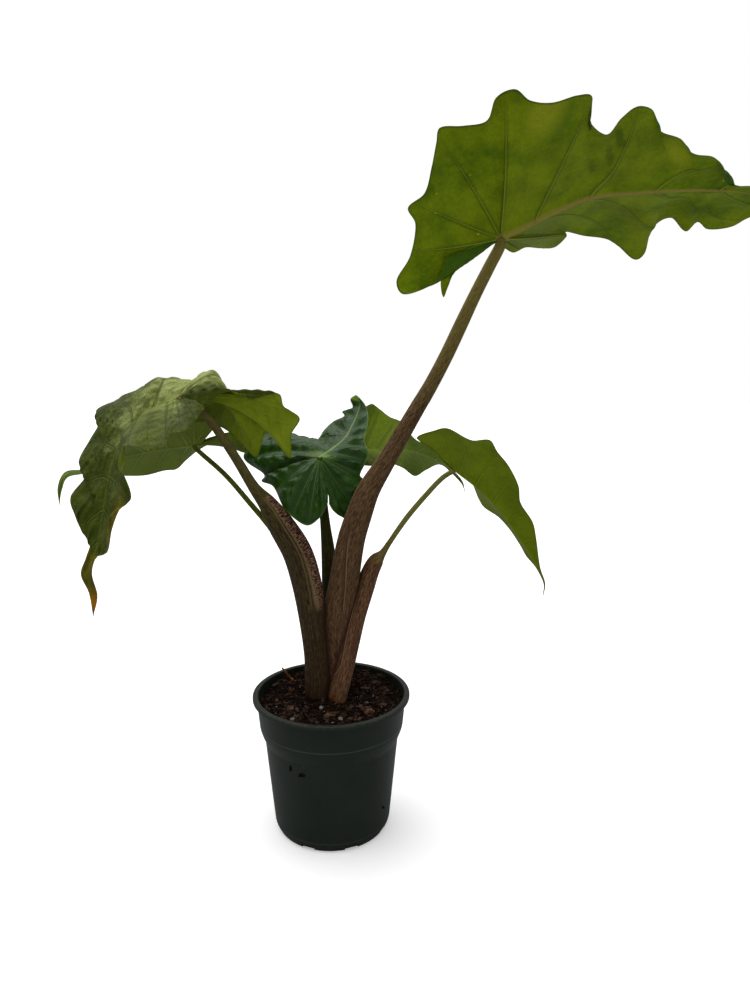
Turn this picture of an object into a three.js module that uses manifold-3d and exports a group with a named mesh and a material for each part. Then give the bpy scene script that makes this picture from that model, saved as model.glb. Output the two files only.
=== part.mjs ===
import * as THREE from 'three';
import { mergeVertices } from 'three/addons/utils/BufferGeometryUtils.js';
import Module from 'manifold-3d';

// Potted alocasia: six leaves on long petioles, standing in a thin nursery pot of bark mix.
// Millimetres, +Z up. The origin is the centre of the pot's foot, on the surface that it stands on.
// The tallest leaf leans towards +X, and the front is -Y.

// Pot
const POT_HEIGHT = 142.5;
const RIM_RADIUS = 79.5; // outside of the rolled lip
const LIP_HEIGHT = 4;
const LIP_OVERHANG = 4.1; // how far the lip stands out from the band under it
const BAND_HEIGHT = 28.5; // straight band between the lip and the shoulder
const BAND_TAPER = 2.6;
const SHOULDER_HEIGHT = 14; // from the band's lower edge down to the body
const SHOULDER_STEP = 5; // how far the shoulder draws in
const SHOULDER_ROUND = 4.4; // height of the shoulder's upper corner
const FOOT_RADIUS = 55.5;
const FOOT_FLARE = 3.8; // how far the foot's bevel spreads
const FOOT_BEVEL = 7;
const WALL = 1.4;
const FLOOR = 2;
const SLOT_COUNT = 8; // drain slots through the foot's bevel
const SLOT_WIDTH = 14;
const SLOT_HEIGHT = 5.5;
const SLOT_INSET = 2.5; // how far a slot reaches in under the floor
const ROUND_SIDES = 36; // sides of the pot and of the soil inside it

// Soil
const SOIL_DROP = 9.5; // from the lip's top down to the soil
const SOIL_BUMP = 0.8; // height of the unevenness on top
const SOIL_RINGS = [0.28, 0.52, 0.76, 1]; // shares of the soil's radius

// Plant
const PLANT_SCALE = 1;
const BLADE_THICKNESS = 1;
const BLADE_COLUMNS = 3; // strips between the midrib and the margin
const STATION_STEP = 0.09; // longest stretch between two ribs
const STATION_MERGE = 0.02; // ribs closer than this count as one
const PETIOLE_SIDES = 10;
const GROOVE_HALF_ANGLE = 0.85; // radians of a sheath's open side
const PETIOLE_TOP = 0.8; // size of a petiole's end, as a share of its last section

// Clearance between pieces that touch
const GAP = 0.3;

// Small things lying on the soil: place as [share of the soil's radius, azimuth in degrees]
const CHIP_THICKNESS = 3.4;
const CHIPS = [
  { name: 'bark_chip_front', place: [0.46, 270], size: [15, 9], turn: 35, tilt: 8 },
  { name: 'bark_chip_right', place: [0.66, 322], size: [13, 8], turn: -20, tilt: -7 },
  { name: 'bark_chip_left', place: [0.62, 208], size: [12, 8], turn: 80, tilt: 9 },
];
const GRAINS = [
  { name: 'perlite_front_left', place: [0.3, 246], radius: 2.2 },
  { name: 'perlite_front', place: [0.62, 284], radius: 2.6 },
  { name: 'perlite_right', place: [0.5, 346], radius: 2.4 },
  { name: 'perlite_left', place: [0.78, 232], radius: 2 },
  { name: 'perlite_rear', place: [0.74, 60], radius: 2.3 },
];
const SUNK = 0.45; // share of a chip's or grain's height that is pressed into the soil
const ROOT_RADIUS = 1.3;
const ROOT_SIDES = 7;
const ROOT_OVER_LIP = 4; // height of the long root's end above the lip
const SCALE_RADIUS = 15; // basal scale: a dry bract curled round the shoots' foot
const SCALE_CENTRE = [9, 8];
const SCALE_ARC = [232, 305];
const SCALE_HEIGHT = 9;
const SCALE_THICKNESS = 1.2;
const SCALE_SUNK = 3;
const SCALE_STEPS = 7;

// Leaves, in millimetres from the soil's middle. A blade's midrib runs from the tip to the junction with
// the petiole. Its halves are lists of ribs [station, x, y, z of the margin, then how far the rib bows].
// Stations 0 to 1 go down the midrib from tip to junction, and 1 to 2 fan round a basal lobe.
// tallest leaf: leans right, its underside to the front
const TALL = {
  name: 'tall',
  midrib: [
    [461, 30, 478], [436, 28, 490], [396, 24, 496], [347, 18, 497], [290, 16, 494], [246, 18, 490],
    [207, 20, 475], [181, 22, 462], [163, 22, 454],
  ],
  left: [
    [0, 461, 30, 478], [0.1, 443, 52, 482, 0, 0, 2], [0.19, 422, 74, 483, 0, 0, 6],
    [0.25, 409, 88, 476, 0, 0, 8], [0.29, 388, 94, 475, 0, 0, 8], [0.31, 375, 88, 481, 0, 0, 8],
    [0.33, 367, 96, 473, 0, 0, 8], [0.36, 348, 88, 485, 0, 0, 10], [0.42, 335, 106, 477, 0, 0, 12],
    [0.47, 336, 126, 456, 0, 0, 14], [0.52, 327, 132, 450, 0, 0, 14], [0.58, 308, 128, 463, 0, 0, 12],
    [0.66, 293, 124, 470, 0, 0, 12], [0.78, 267, 116, 472, 0, 0, 12], [0.92, 245, 104, 474, 0, 0, 10],
    [1.05, 245, 104, 469], [1.2, 234, 106, 459], [1.4, 217, 100, 457], [1.6, 200, 88, 456],
    [1.8, 184, 68, 448], [2, 170, 40, 448],
  ],
  right: [
    [0, 461, 30, 478], [0.1, 420, 12, 496], [0.19, 386, 4, 497], [0.23, 362, -2, 497],
    [0.26, 351, -16, 508], [0.29, 340, -22, 515], [0.33, 324, -26, 516], [0.36, 314, -32, 518],
    [0.39, 304, -39, 525], [0.44, 283, -48, 529], [0.5, 270, -64, 540], [0.54, 256, -70, 541],
    [0.6, 245, -64, 534], [0.66, 236, -55, 524], [0.71, 218, -68, 531], [0.76, 214, -88, 542],
    [0.82, 202, -92, 542], [0.9, 183, -88, 538], [0.98, 165, -90, 539], [1.04, 152, -96, 545],
    [1.1, 139, -86, 542], [1.15, 134, -74, 529], [1.2, 116, -68, 527], [1.26, 97, -66, 526],
    [1.3, 95, -58, 517], [1.37, 92, -46, 500], [1.43, 87, -36, 482], [1.48, 73, -32, 471],
    [1.53, 80, -26, 458], [1.59, 76, -16, 433], [1.66, 64, -12, 412], [1.71, 70, -12, 400],
    [1.77, 91, -8, 406], [1.82, 103, -4, 416], [1.86, 111, 0, 434, 0, 0, 2],
    [1.89, 105, -2, 415, -8, 0, 16], [1.925, 108, -4, 398, -16, 0, 32], [1.955, 116, 0, 418, -8, 0, 14],
    [1.98, 136, 8, 437, 0, 0, 2], [2, 156, 18, 450],
  ],
  open: [-0.62, 0.62, 0.42],
  petiole: [
    [1, 17, -22, 8, 8, 0], [2, 17, -2, 11, 10, 0], [3, 20, 40, 14, 13, 0], [5, 21, 79, 15, 15, 0],
    [12, 22, 115, 15, 15.5, 2], [20, 25, 161, 13.5, 14.5, 4], [29, 26, 190, 12.5, 13.5, 6],
    [38, 26, 213, 11, 12, 7], [53, 25, 238, 9.5, 9.8, 6], [66, 25, 260, 8.5, 8.8, 4],
    [82, 24, 288, 8, 8, 1], [99, 24, 317, 7.1, 7.1, 0], [114, 24, 346, 6.8, 6.8, 0],
    [127, 24, 374, 6.6, 6.6, 0], [140, 23, 402, 6, 6, 0], [154, 23, 430, 5.6, 5.6, 0],
    [163, 22, 448, 5.2, 5.2, 0],
  ],
};

// left leaf: hangs on the left, its front lobe standing up like a canopy
const LEFT = {
  name: 'left',
  midrib: [
    [-219, -48, 105], [-218, -48, 127], [-223, -46, 145], [-213, -42, 172], [-208, -32, 208],
    [-204, -18, 243], [-194, 2, 275], [-177, 18, 293], [-152, 30, 303],
  ],
  left: [
    [0, -219, -48, 105], [0.08, -213, -50, 126], [0.14, -215, -54, 148], [0.2, -207, -60, 166],
    [0.24, -196, -64, 171], [0.29, -189, -68, 193], [0.33, -180, -72, 211], [0.37, -168, -76, 222],
    [0.42, -172, -76, 240, 4, 0, 0], [0.5, -178, -74, 247, 16, 0, 6], [0.58, -177, -76, 257, 18, 0, 8],
    [0.66, -170, -80, 268, 12, 0, 8], [0.74, -163, -84, 269, 0, 0, 8], [0.84, -147, -88, 265, 0, -4, 8],
    [0.95, -136, -84, 268, 0, -4, 8], [1.1, -132, -72, 276, 0, -4, 8], [1.4, -119, -54, 282, 0, -4, 8],
    [1.7, -118, -24, 291, 0, -2, 6], [2, -118, 2, 296, 0, 0, 4],
  ],
  right: [
    [0, -219, -48, 105], [0.08, -222, -47, 128], [0.13, -229, -45, 145], [0.18, -224, -42, 161],
    [0.22, -220, -36, 178], [0.26, -231, -30, 183], [0.3, -240, -22, 196], [0.34, -246, -14, 213],
    [0.37, -234, -6, 231], [0.42, -244, 6, 244, 0, 0, 4], [0.48, -237, 20, 264, 0, 0, 6],
    [0.54, -231, 34, 281, 0, 0, 8], [0.6, -238, 46, 292, 0, 0, 8], [0.68, -224, 70, 300, -4, 0, 24],
    [0.76, -210, 92, 300, 6, 0, 36], [0.83, -195, 106, 288, 24, 0, 68], [0.9, -181, 110, 290, 20, 0, 60],
    [1, -164, 112, 275, 26, 0, 66], [1.12, -139, 98, 276, 50, 0, 88], [1.22, -113, 74, 269, 36, 0, 86],
    [1.32, -93, 60, 254, 18, 0, 58], [1.38, -78, 52, 243, 14, 0, 46], [1.45, -66, 48, 268, 10, 0, 30],
    [1.52, -43, 42, 243, 12, 0, 38], [1.6, -40, 38, 267, 8, 0, 24], [1.68, -31, 35, 284, 6, 0, 18],
    [1.76, -46, 31, 296, 4, 0, 14], [1.84, -52, 28, 309, 0, 0, 10], [1.9, -78, 24, 304, 0, 0, 8],
    [1.95, -99, 22, 312, 0, 0, 8], [2, -120, 18, 296, 0, 0, 4],
  ],
  open: [0.74, -0.53, 0.42],
  petiole: [
    [-12, 11, -19, 8, 8, 0], [-14, 11, 1, 12, 14, 0], [-15, 13, 43, 13, 14, 2], [-19, 14, 81, 13, 15, 4],
    [-25, 16, 119, 13, 17, 7], [-34, 18, 150, 12.5, 17.2, 10], [-50, 20, 178, 11, 15.5, 10],
    [-63, 23, 198, 8, 11, 7], [-77, 25, 215, 5.8, 6, 1], [-92, 27, 240, 4.9, 4.9, 0],
    [-107, 28, 264, 4.5, 4.5, 0], [-121, 29, 284, 4.3, 4.3, 0], [-136, 30, 297, 4.2, 4.2, 0],
  ],
};

// left rear leaf: nearly level, behind the left leaf
const LEFT_REAR = {
  name: 'left_rear',
  midrib: [
    [-284, 48, 193], [-283, 48, 211], [-276, 50, 225], [-256, 50, 231], [-227, 50, 240], [-187, 50, 249],
    [-142, 50, 255],
  ],
  left: [
    [0, -284, 48, 193], [0.1, -279, 46, 210], [0.2, -271, 44, 223], [0.3, -247, 36, 229],
    [0.45, -222, 24, 245, 0, 0, 2], [0.6, -198, 14, 260, 0, 0, 4], [0.8, -167, 12, 272, 0, 0, 4],
    [1.1, -143, 26, 279, 0, 0, 4], [1.4, -126, 40, 281, 0, 0, 2], [1.6, -117, 44, 278, 0, 0, 2],
    [2, -132, 50, 259],
  ],
  right: [
    [0, -284, 48, 193], [0.1, -285, 50, 212], [0.2, -278, 54, 227], [0.3, -263, 62, 228],
    [0.42, -248, 72, 222, 0, 0, 2], [0.55, -225, 82, 219, 0, 0, 4], [0.68, -204, 86, 219, 0, 0, 6],
    [0.8, -184, 86, 224, 0, 0, 6], [0.9, -170, 82, 226, 0, 0, 6], [1.1, -158, 78, 236, 0, 0, 4],
    [1.35, -146, 84, 246, 0, 0, 4], [1.6, -126, 90, 257, 0, 0, 4], [1.7, -114, 92, 262, 0, 0, 4],
    [1.8, -99, 92, 243, 0, 0, 6], [1.87, -90, 88, 253, 0, 0, 4], [1.94, -103, 78, 267, 0, 0, 4],
    [2, -132, 54, 258, 0, 0, 2],
  ],
  open: [0.7, 0, 0.7],
  petiole: [
    [-17, 33, -30, 4, 4, 0], [-16, 34, -5, 6, 6, 0], [-21, 36, 39, 6, 6, 0], [-30, 40, 93, 6, 6, 0],
    [-44, 44, 135, 5, 5, 0], [-62, 48, 165, 3.2, 3.2, 0], [-86, 50, 195, 2.8, 2.8, 0],
    [-111, 50, 225, 2.6, 2.6, 0], [-139, 50, 251, 2.4, 2.4, 0],
  ],
};

// centre leaf: youngest, short, its basal lobes towards the front
const CENTRE = {
  name: 'centre',
  midrib: [
    [23, 122, 304], [28, 120, 296], [26, 112, 286], [20, 100, 273], [13, 88, 261], [1, 70, 251],
    [-13, 50, 243],
  ],
  left: [
    [0, 23, 122, 304], [0.08, 17, 123, 299], [0.14, 19, 122, 290], [0.2, 8, 122, 286],
    [0.28, 10, 118, 281], [0.4, -2, 118, 275], [0.5, -12, 114, 266], [0.6, -21, 110, 255],
    [0.75, -45, 106, 255, 0, 0, 2], [0.88, -74, 108, 265, 0, 0, 4], [1, -99, 94, 239, 0, 0, 8],
    [1.12, -74, 72, 222, 0, -4, 4], [1.2, -75, 62, 216, 0, -4, 4], [1.28, -61, 46, 213, 0, -4, 4],
    [1.4, -48, 22, 196, 0, -6, 4], [1.55, -34, 14, 184, 0, -6, 4], [1.68, -22, 12, 179, 0, -6, 4],
    [1.8, -11, 16, 186, 0, -4, 2], [1.92, -5, 22, 195, 0, -2, 2], [2, -3, 26, 200],
  ],
  right: [
    [0, 23, 122, 304], [0.08, 27, 120, 301], [0.16, 34, 110, 293], [0.3, 37, 100, 283],
    [0.45, 36, 88, 270], [0.6, 33, 78, 259], [0.75, 37, 66, 246, 0, 0, 2], [0.9, 34, 60, 235, 0, 0, 2],
    [1.05, 29, 54, 224, 0, 0, 2], [1.2, 33, 52, 217, 0, -4, 2], [1.35, 27, 46, 199, 0, -4, 2],
    [1.5, 17, 41, 182, 0, -6, 2], [1.7, 9, 34, 184, 0, -6, 2], [1.85, 2, 28, 191, 0, -4, 2],
    [2, -2, 26, 198],
  ],
  open: [0, -1, 0.3],
  petiole: [
    [-1, 41, -33, 5, 5, 0], [-1, 42, -8, 7, 7, 0], [-2, 46, 47, 8, 8, 0], [-4, 50, 101, 8, 8, 0],
    [-5, 53, 138, 7.4, 7, 0], [-8, 56, 170, 5.4, 5.4, 0], [-11, 58, 202, 4.4, 4.4, 0],
    [-13, 54, 231, 3.8, 3.8, 0],
  ],
};

// right leaf: hangs low on the right, its front half turned up
const RIGHT = {
  name: 'right',
  midrib: [
    [226, 60, 91], [226, 60, 107], [217, 58, 126], [198, 52, 155], [172, 44, 190], [150, 38, 212],
    [126, 34, 231],
  ],
  left: [
    [0, 226, 60, 91], [0.08, 226, 62, 105], [0.16, 218, 64, 121], [0.26, 208, 70, 133],
    [0.36, 202, 76, 144, 0, 0, 2], [0.46, 192, 84, 159, 0, 0, 4], [0.58, 180, 90, 172, 0, 0, 6],
    [0.7, 165, 92, 182, 0, 0, 6], [0.8, 158, 90, 192, 0, 0, 6], [0.9, 151, 88, 208, 0, 0, 6],
    [1, 144, 84, 220, 0, 0, 6], [1.3, 125, 82, 238, 0, 0, 8], [1.6, 105, 78, 251, 0, 0, 8],
    [1.8, 100, 70, 255, 0, 0, 6], [2, 121, 42, 235],
  ],
  right: [
    [0, 226, 60, 91], [0.08, 227, 58, 106], [0.16, 220, 54, 125], [0.28, 212, 42, 159, 0, 0, 2],
    [0.36, 206, 34, 178, 0, 0, 4], [0.46, 191, 24, 200, 0, 0, 6], [0.54, 186, 12, 219, 0, 0, 8],
    [0.64, 174, 2, 240, 0, 0, 8], [0.74, 161, -8, 255, 0, 0, 8], [0.84, 152, -16, 267, 0, 0, 8],
    [0.95, 135, -18, 267, 0, 0, 6], [1.15, 113, -20, 278, 0, 0, 4], [1.35, 100, -16, 276, 0, 0, 2],
    [1.6, 84, -6, 268], [1.75, 98, 4, 258], [1.88, 106, 14, 248], [2, 122, 28, 233],
  ],
  open: [-0.5, -0.3, 0.6],
  petiole: [
    [6, 3, -15, 6, 5, 0], [5, 3, 1, 14, 8, 0], [12, 8, 26, 11, 9, 0], [18, 15, 53, 10, 10, 0],
    [25, 22, 83, 10.5, 10, 0], [33, 27, 108, 10, 10, 0], [40, 29, 128, 9, 9, 0], [46, 30, 139, 8, 7.5, 0],
    [52, 31, 146, 4, 4, 0], [59, 31, 157, 2.8, 2.8, 0], [77, 33, 183, 2.8, 2.8, 0],
    [97, 34, 207, 2.7, 2.7, 0], [113, 34, 224, 2.6, 2.6, 0], [124, 34, 231, 2.4, 2.4, 0],
  ],
};

// rear leaf: behind the tallest stem, its front half drooping
const REAR = {
  name: 'rear',
  midrib: [
    [148, 132, 192], [145, 132, 203], [136, 132, 214], [119, 132, 227], [90, 130, 239], [61, 128, 244],
    [25, 124, 242],
  ],
  left: [
    [0, 148, 132, 192], [0.08, 145, 132, 205], [0.16, 136, 134, 216], [0.28, 119, 140, 231],
    [0.42, 103, 146, 245], [0.55, 89, 152, 254, 0, 0, -2], [0.68, 76, 158, 271, 0, 0, -2],
    [0.8, 62, 162, 277, 0, 0, -2], [0.95, 50, 164, 286, 0, 0, -2], [1.15, 40, 164, 292],
    [1.4, 27, 158, 283], [1.7, 18, 146, 263], [2, 19, 130, 246],
  ],
  right: [
    [0, 148, 132, 192], [0.08, 144, 131, 202], [0.16, 133, 128, 214], [0.28, 118, 122, 226],
    [0.42, 101, 106, 222, 0, 0, 2], [0.55, 88, 94, 217, 0, 0, 4], [0.68, 75, 92, 226, 0, 0, 4],
    [0.8, 63, 94, 230, 0, 0, 4], [0.95, 48, 96, 228, 0, 0, 4], [1.15, 34, 98, 228, 0, 0, 4],
    [1.4, 25, 102, 230, 0, 0, 2], [1.7, 17, 110, 234], [2, 19, 120, 238],
  ],
  open: [0, 1, 0.3],
  petiole: [
    [8, 45, -35, 4, 4, 0], [10, 46, -10, 6, 6, 0], [13, 53, 44, 7, 7, 0], [15, 64, 97, 6, 6, 0],
    [17, 81, 148, 4, 4, 0], [18, 100, 189, 3, 3, 0], [21, 114, 221, 2.6, 2.6, 0],
    [23, 122, 239, 2.4, 2.4, 0],
  ],
};
const LEAVES = [TALL, LEFT, RIGHT, CENTRE, LEFT_REAR, REAR]; // in the order in which the sheaths wrap

const COLOURS = {
  pot: 0x1e2a22,
  soil: 0x3b2a1c,
  petiole: 0x5a4a2c,
  blade: 0x4c6418,
  dry: 0xa58a5e,
  bark: 0x4a3222,
  perlite: 0xd8d4c8,
};

const wasm = await Module();
wasm.setup();

// Solids ---------------------------------------------------------------------------------------

function toManifold(geometry) {
  const bare = new THREE.BufferGeometry();
  bare.setAttribute('position', geometry.getAttribute('position'));
  bare.setIndex(geometry.getIndex());
  const merged = mergeVertices(bare, 1e-3);
  const vertProperties = new Float32Array(merged.getAttribute('position').array);
  const triVerts = new Uint32Array(merged.getIndex().array);
  return new wasm.Manifold(new wasm.Mesh({ numProp: 3, vertProperties, triVerts }));
}

function toGeometry(solid) {
  const mesh = solid.getMesh();
  const geometry = new THREE.BufferGeometry();
  geometry.setAttribute('position', new THREE.BufferAttribute(mesh.vertProperties, 3));
  geometry.setIndex(new THREE.BufferAttribute(mesh.triVerts, 1));
  return geometry;
}

function fromArrays(points, triangles) {
  const geometry = new THREE.BufferGeometry();
  const flat = points.flatMap((p) => [p.x, p.y, p.z]);
  geometry.setAttribute('position', new THREE.Float32BufferAttribute(flat, 3));
  geometry.setIndex(triangles.flat());
  return geometry;
}

// The largest connected piece: a cut may leave crumbs beside it.
function largest(solid) {
  const pieces = solid.decompose();
  return pieces.reduce((best, piece) => (piece.volume() > best.volume() ? piece : best));
}

function overlaps(a, b) {
  const boxA = a.boundingBox();
  const boxB = b.boundingBox();
  return [0, 1, 2].every((k) => boxA.min[k] < boxB.max[k] && boxB.min[k] < boxA.max[k]);
}

function cutAll(solid, cutters) {
  return cutters.reduce((rest, cutter) => (overlaps(rest, cutter) ? rest.subtract(cutter) : rest), solid);
}

// Curves ---------------------------------------------------------------------------------------

// Smooth value at t through keys at uneven parameters: a cubic Hermite curve whose slope at each
// key is the chord between its two neighbours.
function smooth(parameters, values, t) {
  const last = parameters.length - 1;
  const clamped = THREE.MathUtils.clamp(t, parameters[0], parameters[last]);
  let k = 0;
  while (k < last - 1 && parameters[k + 1] <= clamped) k += 1;
  const slope = (i, axis) => {
    const a = Math.max(i - 1, 0);
    const b = Math.min(i + 1, last);
    return (values[b][axis] - values[a][axis]) / (parameters[b] - parameters[a]);
  };
  const h = parameters[k + 1] - parameters[k];
  const s = (clamped - parameters[k]) / h;
  const startWeight = 2 * s ** 3 - 3 * s ** 2 + 1;
  const startSlope = s ** 3 - 2 * s ** 2 + s;
  const endWeight = 3 * s ** 2 - 2 * s ** 3;
  const endSlope = s ** 3 - s ** 2;
  return values[k].map((value, axis) => (
    startWeight * value + startSlope * h * slope(k, axis)
    + endWeight * values[k + 1][axis] + endSlope * h * slope(k + 1, axis)
  ));
}

const vector = (p) => new THREE.Vector3(p[0], p[1], p[2]).multiplyScalar(PLANT_SCALE);

// Share of the whole length at each point of a chain.
function lengthShares(points) {
  const shares = [0];
  for (let i = 1; i < points.length; i += 1) {
    const step = Math.hypot(...[0, 1, 2].map((k) => points[i][k] - points[i - 1][k]));
    shares.push(shares[i - 1] + step);
  }
  return shares.map((share) => share / shares[shares.length - 1]);
}

// Blades ---------------------------------------------------------------------------------------

// Stations for the ribs between two limits: the listed keys, thinned and then filled in.
function stations(keys, from, to) {
  const inside = keys.filter((t) => t > from + STATION_MERGE && t < to - STATION_MERGE).sort((a, b) => a - b);
  const kept = [from];
  for (const t of inside) {
    if (t - kept[kept.length - 1] > STATION_MERGE) kept.push(t);
  }
  kept.push(to);
  const filled = [from];
  for (let i = 1; i < kept.length; i += 1) {
    const parts = Math.ceil((kept[i] - kept[i - 1]) / STATION_STEP);
    for (let j = 1; j <= parts; j += 1) filled.push(THREE.MathUtils.lerp(kept[i - 1], kept[i], j / parts));
  }
  return filled;
}

// One rib: a bowed line from the midrib (or the junction) to the margin, without its first point.
function rib(leaf, side, t) {
  const shares = lengthShares(leaf.midrib);
  const origin = smooth(shares, leaf.midrib, Math.min(t, 1));
  const keys = side.map((row) => row[0]);
  const end = smooth(keys, side.map((row) => row.slice(1, 4)), t);
  const bow = smooth(keys, side.map((row) => (row.length > 4 ? row.slice(4, 7) : [0, 0, 0])), t);
  const points = [];
  for (let j = 1; j <= BLADE_COLUMNS; j += 1) {
    const v = j / BLADE_COLUMNS;
    points.push(vector([0, 1, 2].map((k) => {
      const via = (origin[k] + end[k]) / 2 + bow[k];
      return origin[k] * (1 - v) ** 2 + 2 * v * (1 - v) * via + end[k] * v ** 2;
    })));
  }
  return points;
}

// The open sheet of a blade. Both halves share the midrib, and each fans on round the junction.
function bladeSheet(leaf) {
  const shares = lengthShares(leaf.midrib);
  const sharedKeys = [...leaf.left, ...leaf.right].map((row) => row[0]);
  const along = stations(sharedKeys, 0, 1);
  const points = along.map((t) => vector(smooth(shares, leaf.midrib, t)));
  const junction = points.length - 1;
  const triangles = [];
  for (const [side, flip] of [[leaf.left, true], [leaf.right, false]]) {
    const fan = stations(side.map((row) => row[0]), 1, 2).slice(1);
    let previous = null;
    [...along, ...fan].forEach((t, i) => {
      const root = Math.min(i, junction);
      const row = i === 0
        ? Array(BLADE_COLUMNS + 1).fill(0)
        : [root, ...rib(leaf, side, t).map((p) => points.push(p) - 1)];
      if (previous) {
        for (let j = 0; j < BLADE_COLUMNS; j += 1) {
          const quad = [previous[j], row[j], row[j + 1], previous[j + 1]];
          const pair = [[quad[0], quad[1], quad[2]], [quad[0], quad[2], quad[3]]];
          for (const [a, b, c] of pair) {
            if (a !== b && b !== c && c !== a) triangles.push(flip ? [a, c, b] : [a, b, c]);
          }
        }
      }
      previous = row;
    });
  }
  return { points, triangles };
}

// Gives an open sheet a thickness: half to each side along its normals, with a wall at its edge.
function thicken({ points, triangles }, thickness) {
  const normals = points.map(() => new THREE.Vector3());
  for (const [a, b, c] of triangles) {
    const ab = points[b].clone().sub(points[a]);
    const ac = points[c].clone().sub(points[a]);
    const normal = ab.cross(ac);
    [a, b, c].forEach((i) => normals[i].add(normal));
  }
  const offset = (side) => points.map((p, i) => (
    p.clone().addScaledVector(normals[i].clone().normalize(), side * thickness / 2)
  ));
  const count = points.length;
  const solid = [];
  const edges = new Map();
  for (const [a, b, c] of triangles) {
    solid.push([a, b, c], [a + count, c + count, b + count]);
    for (const [from, to] of [[a, b], [b, c], [c, a]]) edges.set(`${from} ${to}`, [from, to]);
  }
  for (const [from, to] of edges.values()) {
    if (edges.has(`${to} ${from}`)) continue;
    solid.push([from, from + count, to + count], [from, to + count, to]);
  }
  return toManifold(fromArrays([...offset(1), ...offset(-1)], solid));
}

// Petioles -------------------------------------------------------------------------------------

// A petiole with its sheath: oval sections [x, y, z, across, along, groove] along a smooth line that ends
// at the blade's junction. The groove dips the side that faces the leaf's open direction. A grown one is
// the cutter for its neighbours.
function petiole(leaf, grow) {
  const junction = leaf.midrib[leaf.midrib.length - 1];
  const centres = [...leaf.petiole.map((row) => row.slice(0, 3)), junction];
  const sizes = leaf.petiole.map((row) => row.slice(3, 6));
  sizes.push(sizes[sizes.length - 1].map((size) => size * PETIOLE_TOP));
  const shares = lengthShares(centres);
  const sections = [];
  shares.forEach((share, i) => {
    if (i > 0) sections.push((share + shares[i - 1]) / 2);
    sections.push(share);
  });
  const at = (share) => vector(smooth(shares, centres, share));
  const open = new THREE.Vector3(...leaf.open);
  const points = [];
  sections.forEach((share, i) => {
    const ahead = at(Math.min(share + 0.01, 1));
    const behind = at(Math.max(share - 0.01, 0));
    const tangent = ahead.sub(behind).normalize();
    const outward = open.clone().addScaledVector(tangent, -open.dot(tangent)).normalize();
    const across = tangent.clone().cross(outward);
    const [halfAcross, halfAlong, groove] = smooth(shares, sizes, share);
    const centre = at(share);
    if (i === 0) centre.addScaledVector(tangent, -grow);
    if (i === sections.length - 1) centre.addScaledVector(tangent, grow);
    for (let k = 0; k < PETIOLE_SIDES; k += 1) {
      const angle = (2 * Math.PI * k) / PETIOLE_SIDES;
      const fromOpen = angle > Math.PI ? angle - 2 * Math.PI : angle;
      const dipped = Math.abs(fromOpen) < GROOVE_HALF_ANGLE;
      const dip = dipped ? (1 + Math.cos((Math.PI * fromOpen) / GROOVE_HALF_ANGLE)) / 2 : 0;
      const radial = (halfAlong * PLANT_SCALE + grow) * Math.cos(angle) - groove * PLANT_SCALE * dip;
      const sideways = (halfAcross * PLANT_SCALE + grow) * Math.sin(angle);
      points.push(centre.clone().addScaledVector(outward, radial).addScaledVector(across, sideways));
    }
  });
  return toManifold(fromArrays(points, skin(sections.length, PETIOLE_SIDES)));
}

// Triangles of a closed tube: rings one after another, with a flat fan at each end.
function skin(rings, sides) {
  const triangles = [];
  for (let i = 0; i < rings - 1; i += 1) {
    for (let k = 0; k < sides; k += 1) {
      const a = i * sides + k;
      const b = i * sides + ((k + 1) % sides);
      triangles.push([a, b, b + sides], [a, b + sides, a + sides]);
    }
  }
  const top = (rings - 1) * sides;
  for (let k = 1; k < sides - 1; k += 1) {
    triangles.push([0, k + 1, k], [top, top + k, top + k + 1]);
  }
  return triangles;
}

// Pot and soil ---------------------------------------------------------------------------------

const BAND_RADIUS = RIM_RADIUS - LIP_OVERHANG;
const SHOULDER_RADIUS = BAND_RADIUS - BAND_TAPER;
const BODY_RADIUS = SHOULDER_RADIUS - SHOULDER_STEP;
const BAND_TOP = POT_HEIGHT - LIP_HEIGHT;
const BAND_BOTTOM = BAND_TOP - BAND_HEIGHT;
const BODY_TOP = BAND_BOTTOM - SHOULDER_HEIGHT;
const FLARE_RADIUS = FOOT_RADIUS + FOOT_FLARE;
const SOIL_LEVEL = POT_HEIGHT - SOIL_DROP;

// Outside of the pot from the foot up: [radius, height]
const POT_SIDE = [
  [FOOT_RADIUS, 0],
  [FLARE_RADIUS, FOOT_BEVEL],
  [BODY_RADIUS, BODY_TOP],
  [SHOULDER_RADIUS - SHOULDER_STEP / 4, BAND_BOTTOM - SHOULDER_ROUND],
  [SHOULDER_RADIUS, BAND_BOTTOM],
  [BAND_RADIUS, BAND_TOP],
];

// Radius of the pot's outside at a height
function sideRadius(height) {
  let k = 0;
  while (k < POT_SIDE.length - 2 && POT_SIDE[k + 1][1] < height) k += 1;
  const [lowRadius, low] = POT_SIDE[k];
  const [highRadius, high] = POT_SIDE[k + 1];
  return THREE.MathUtils.lerp(lowRadius, highRadius, (height - low) / (high - low));
}

function lathe(profile, sides) {
  const points = profile.map(([radius, height]) => new THREE.Vector2(radius, height));
  return new THREE.LatheGeometry(points, sides).rotateX(Math.PI / 2);
}

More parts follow.
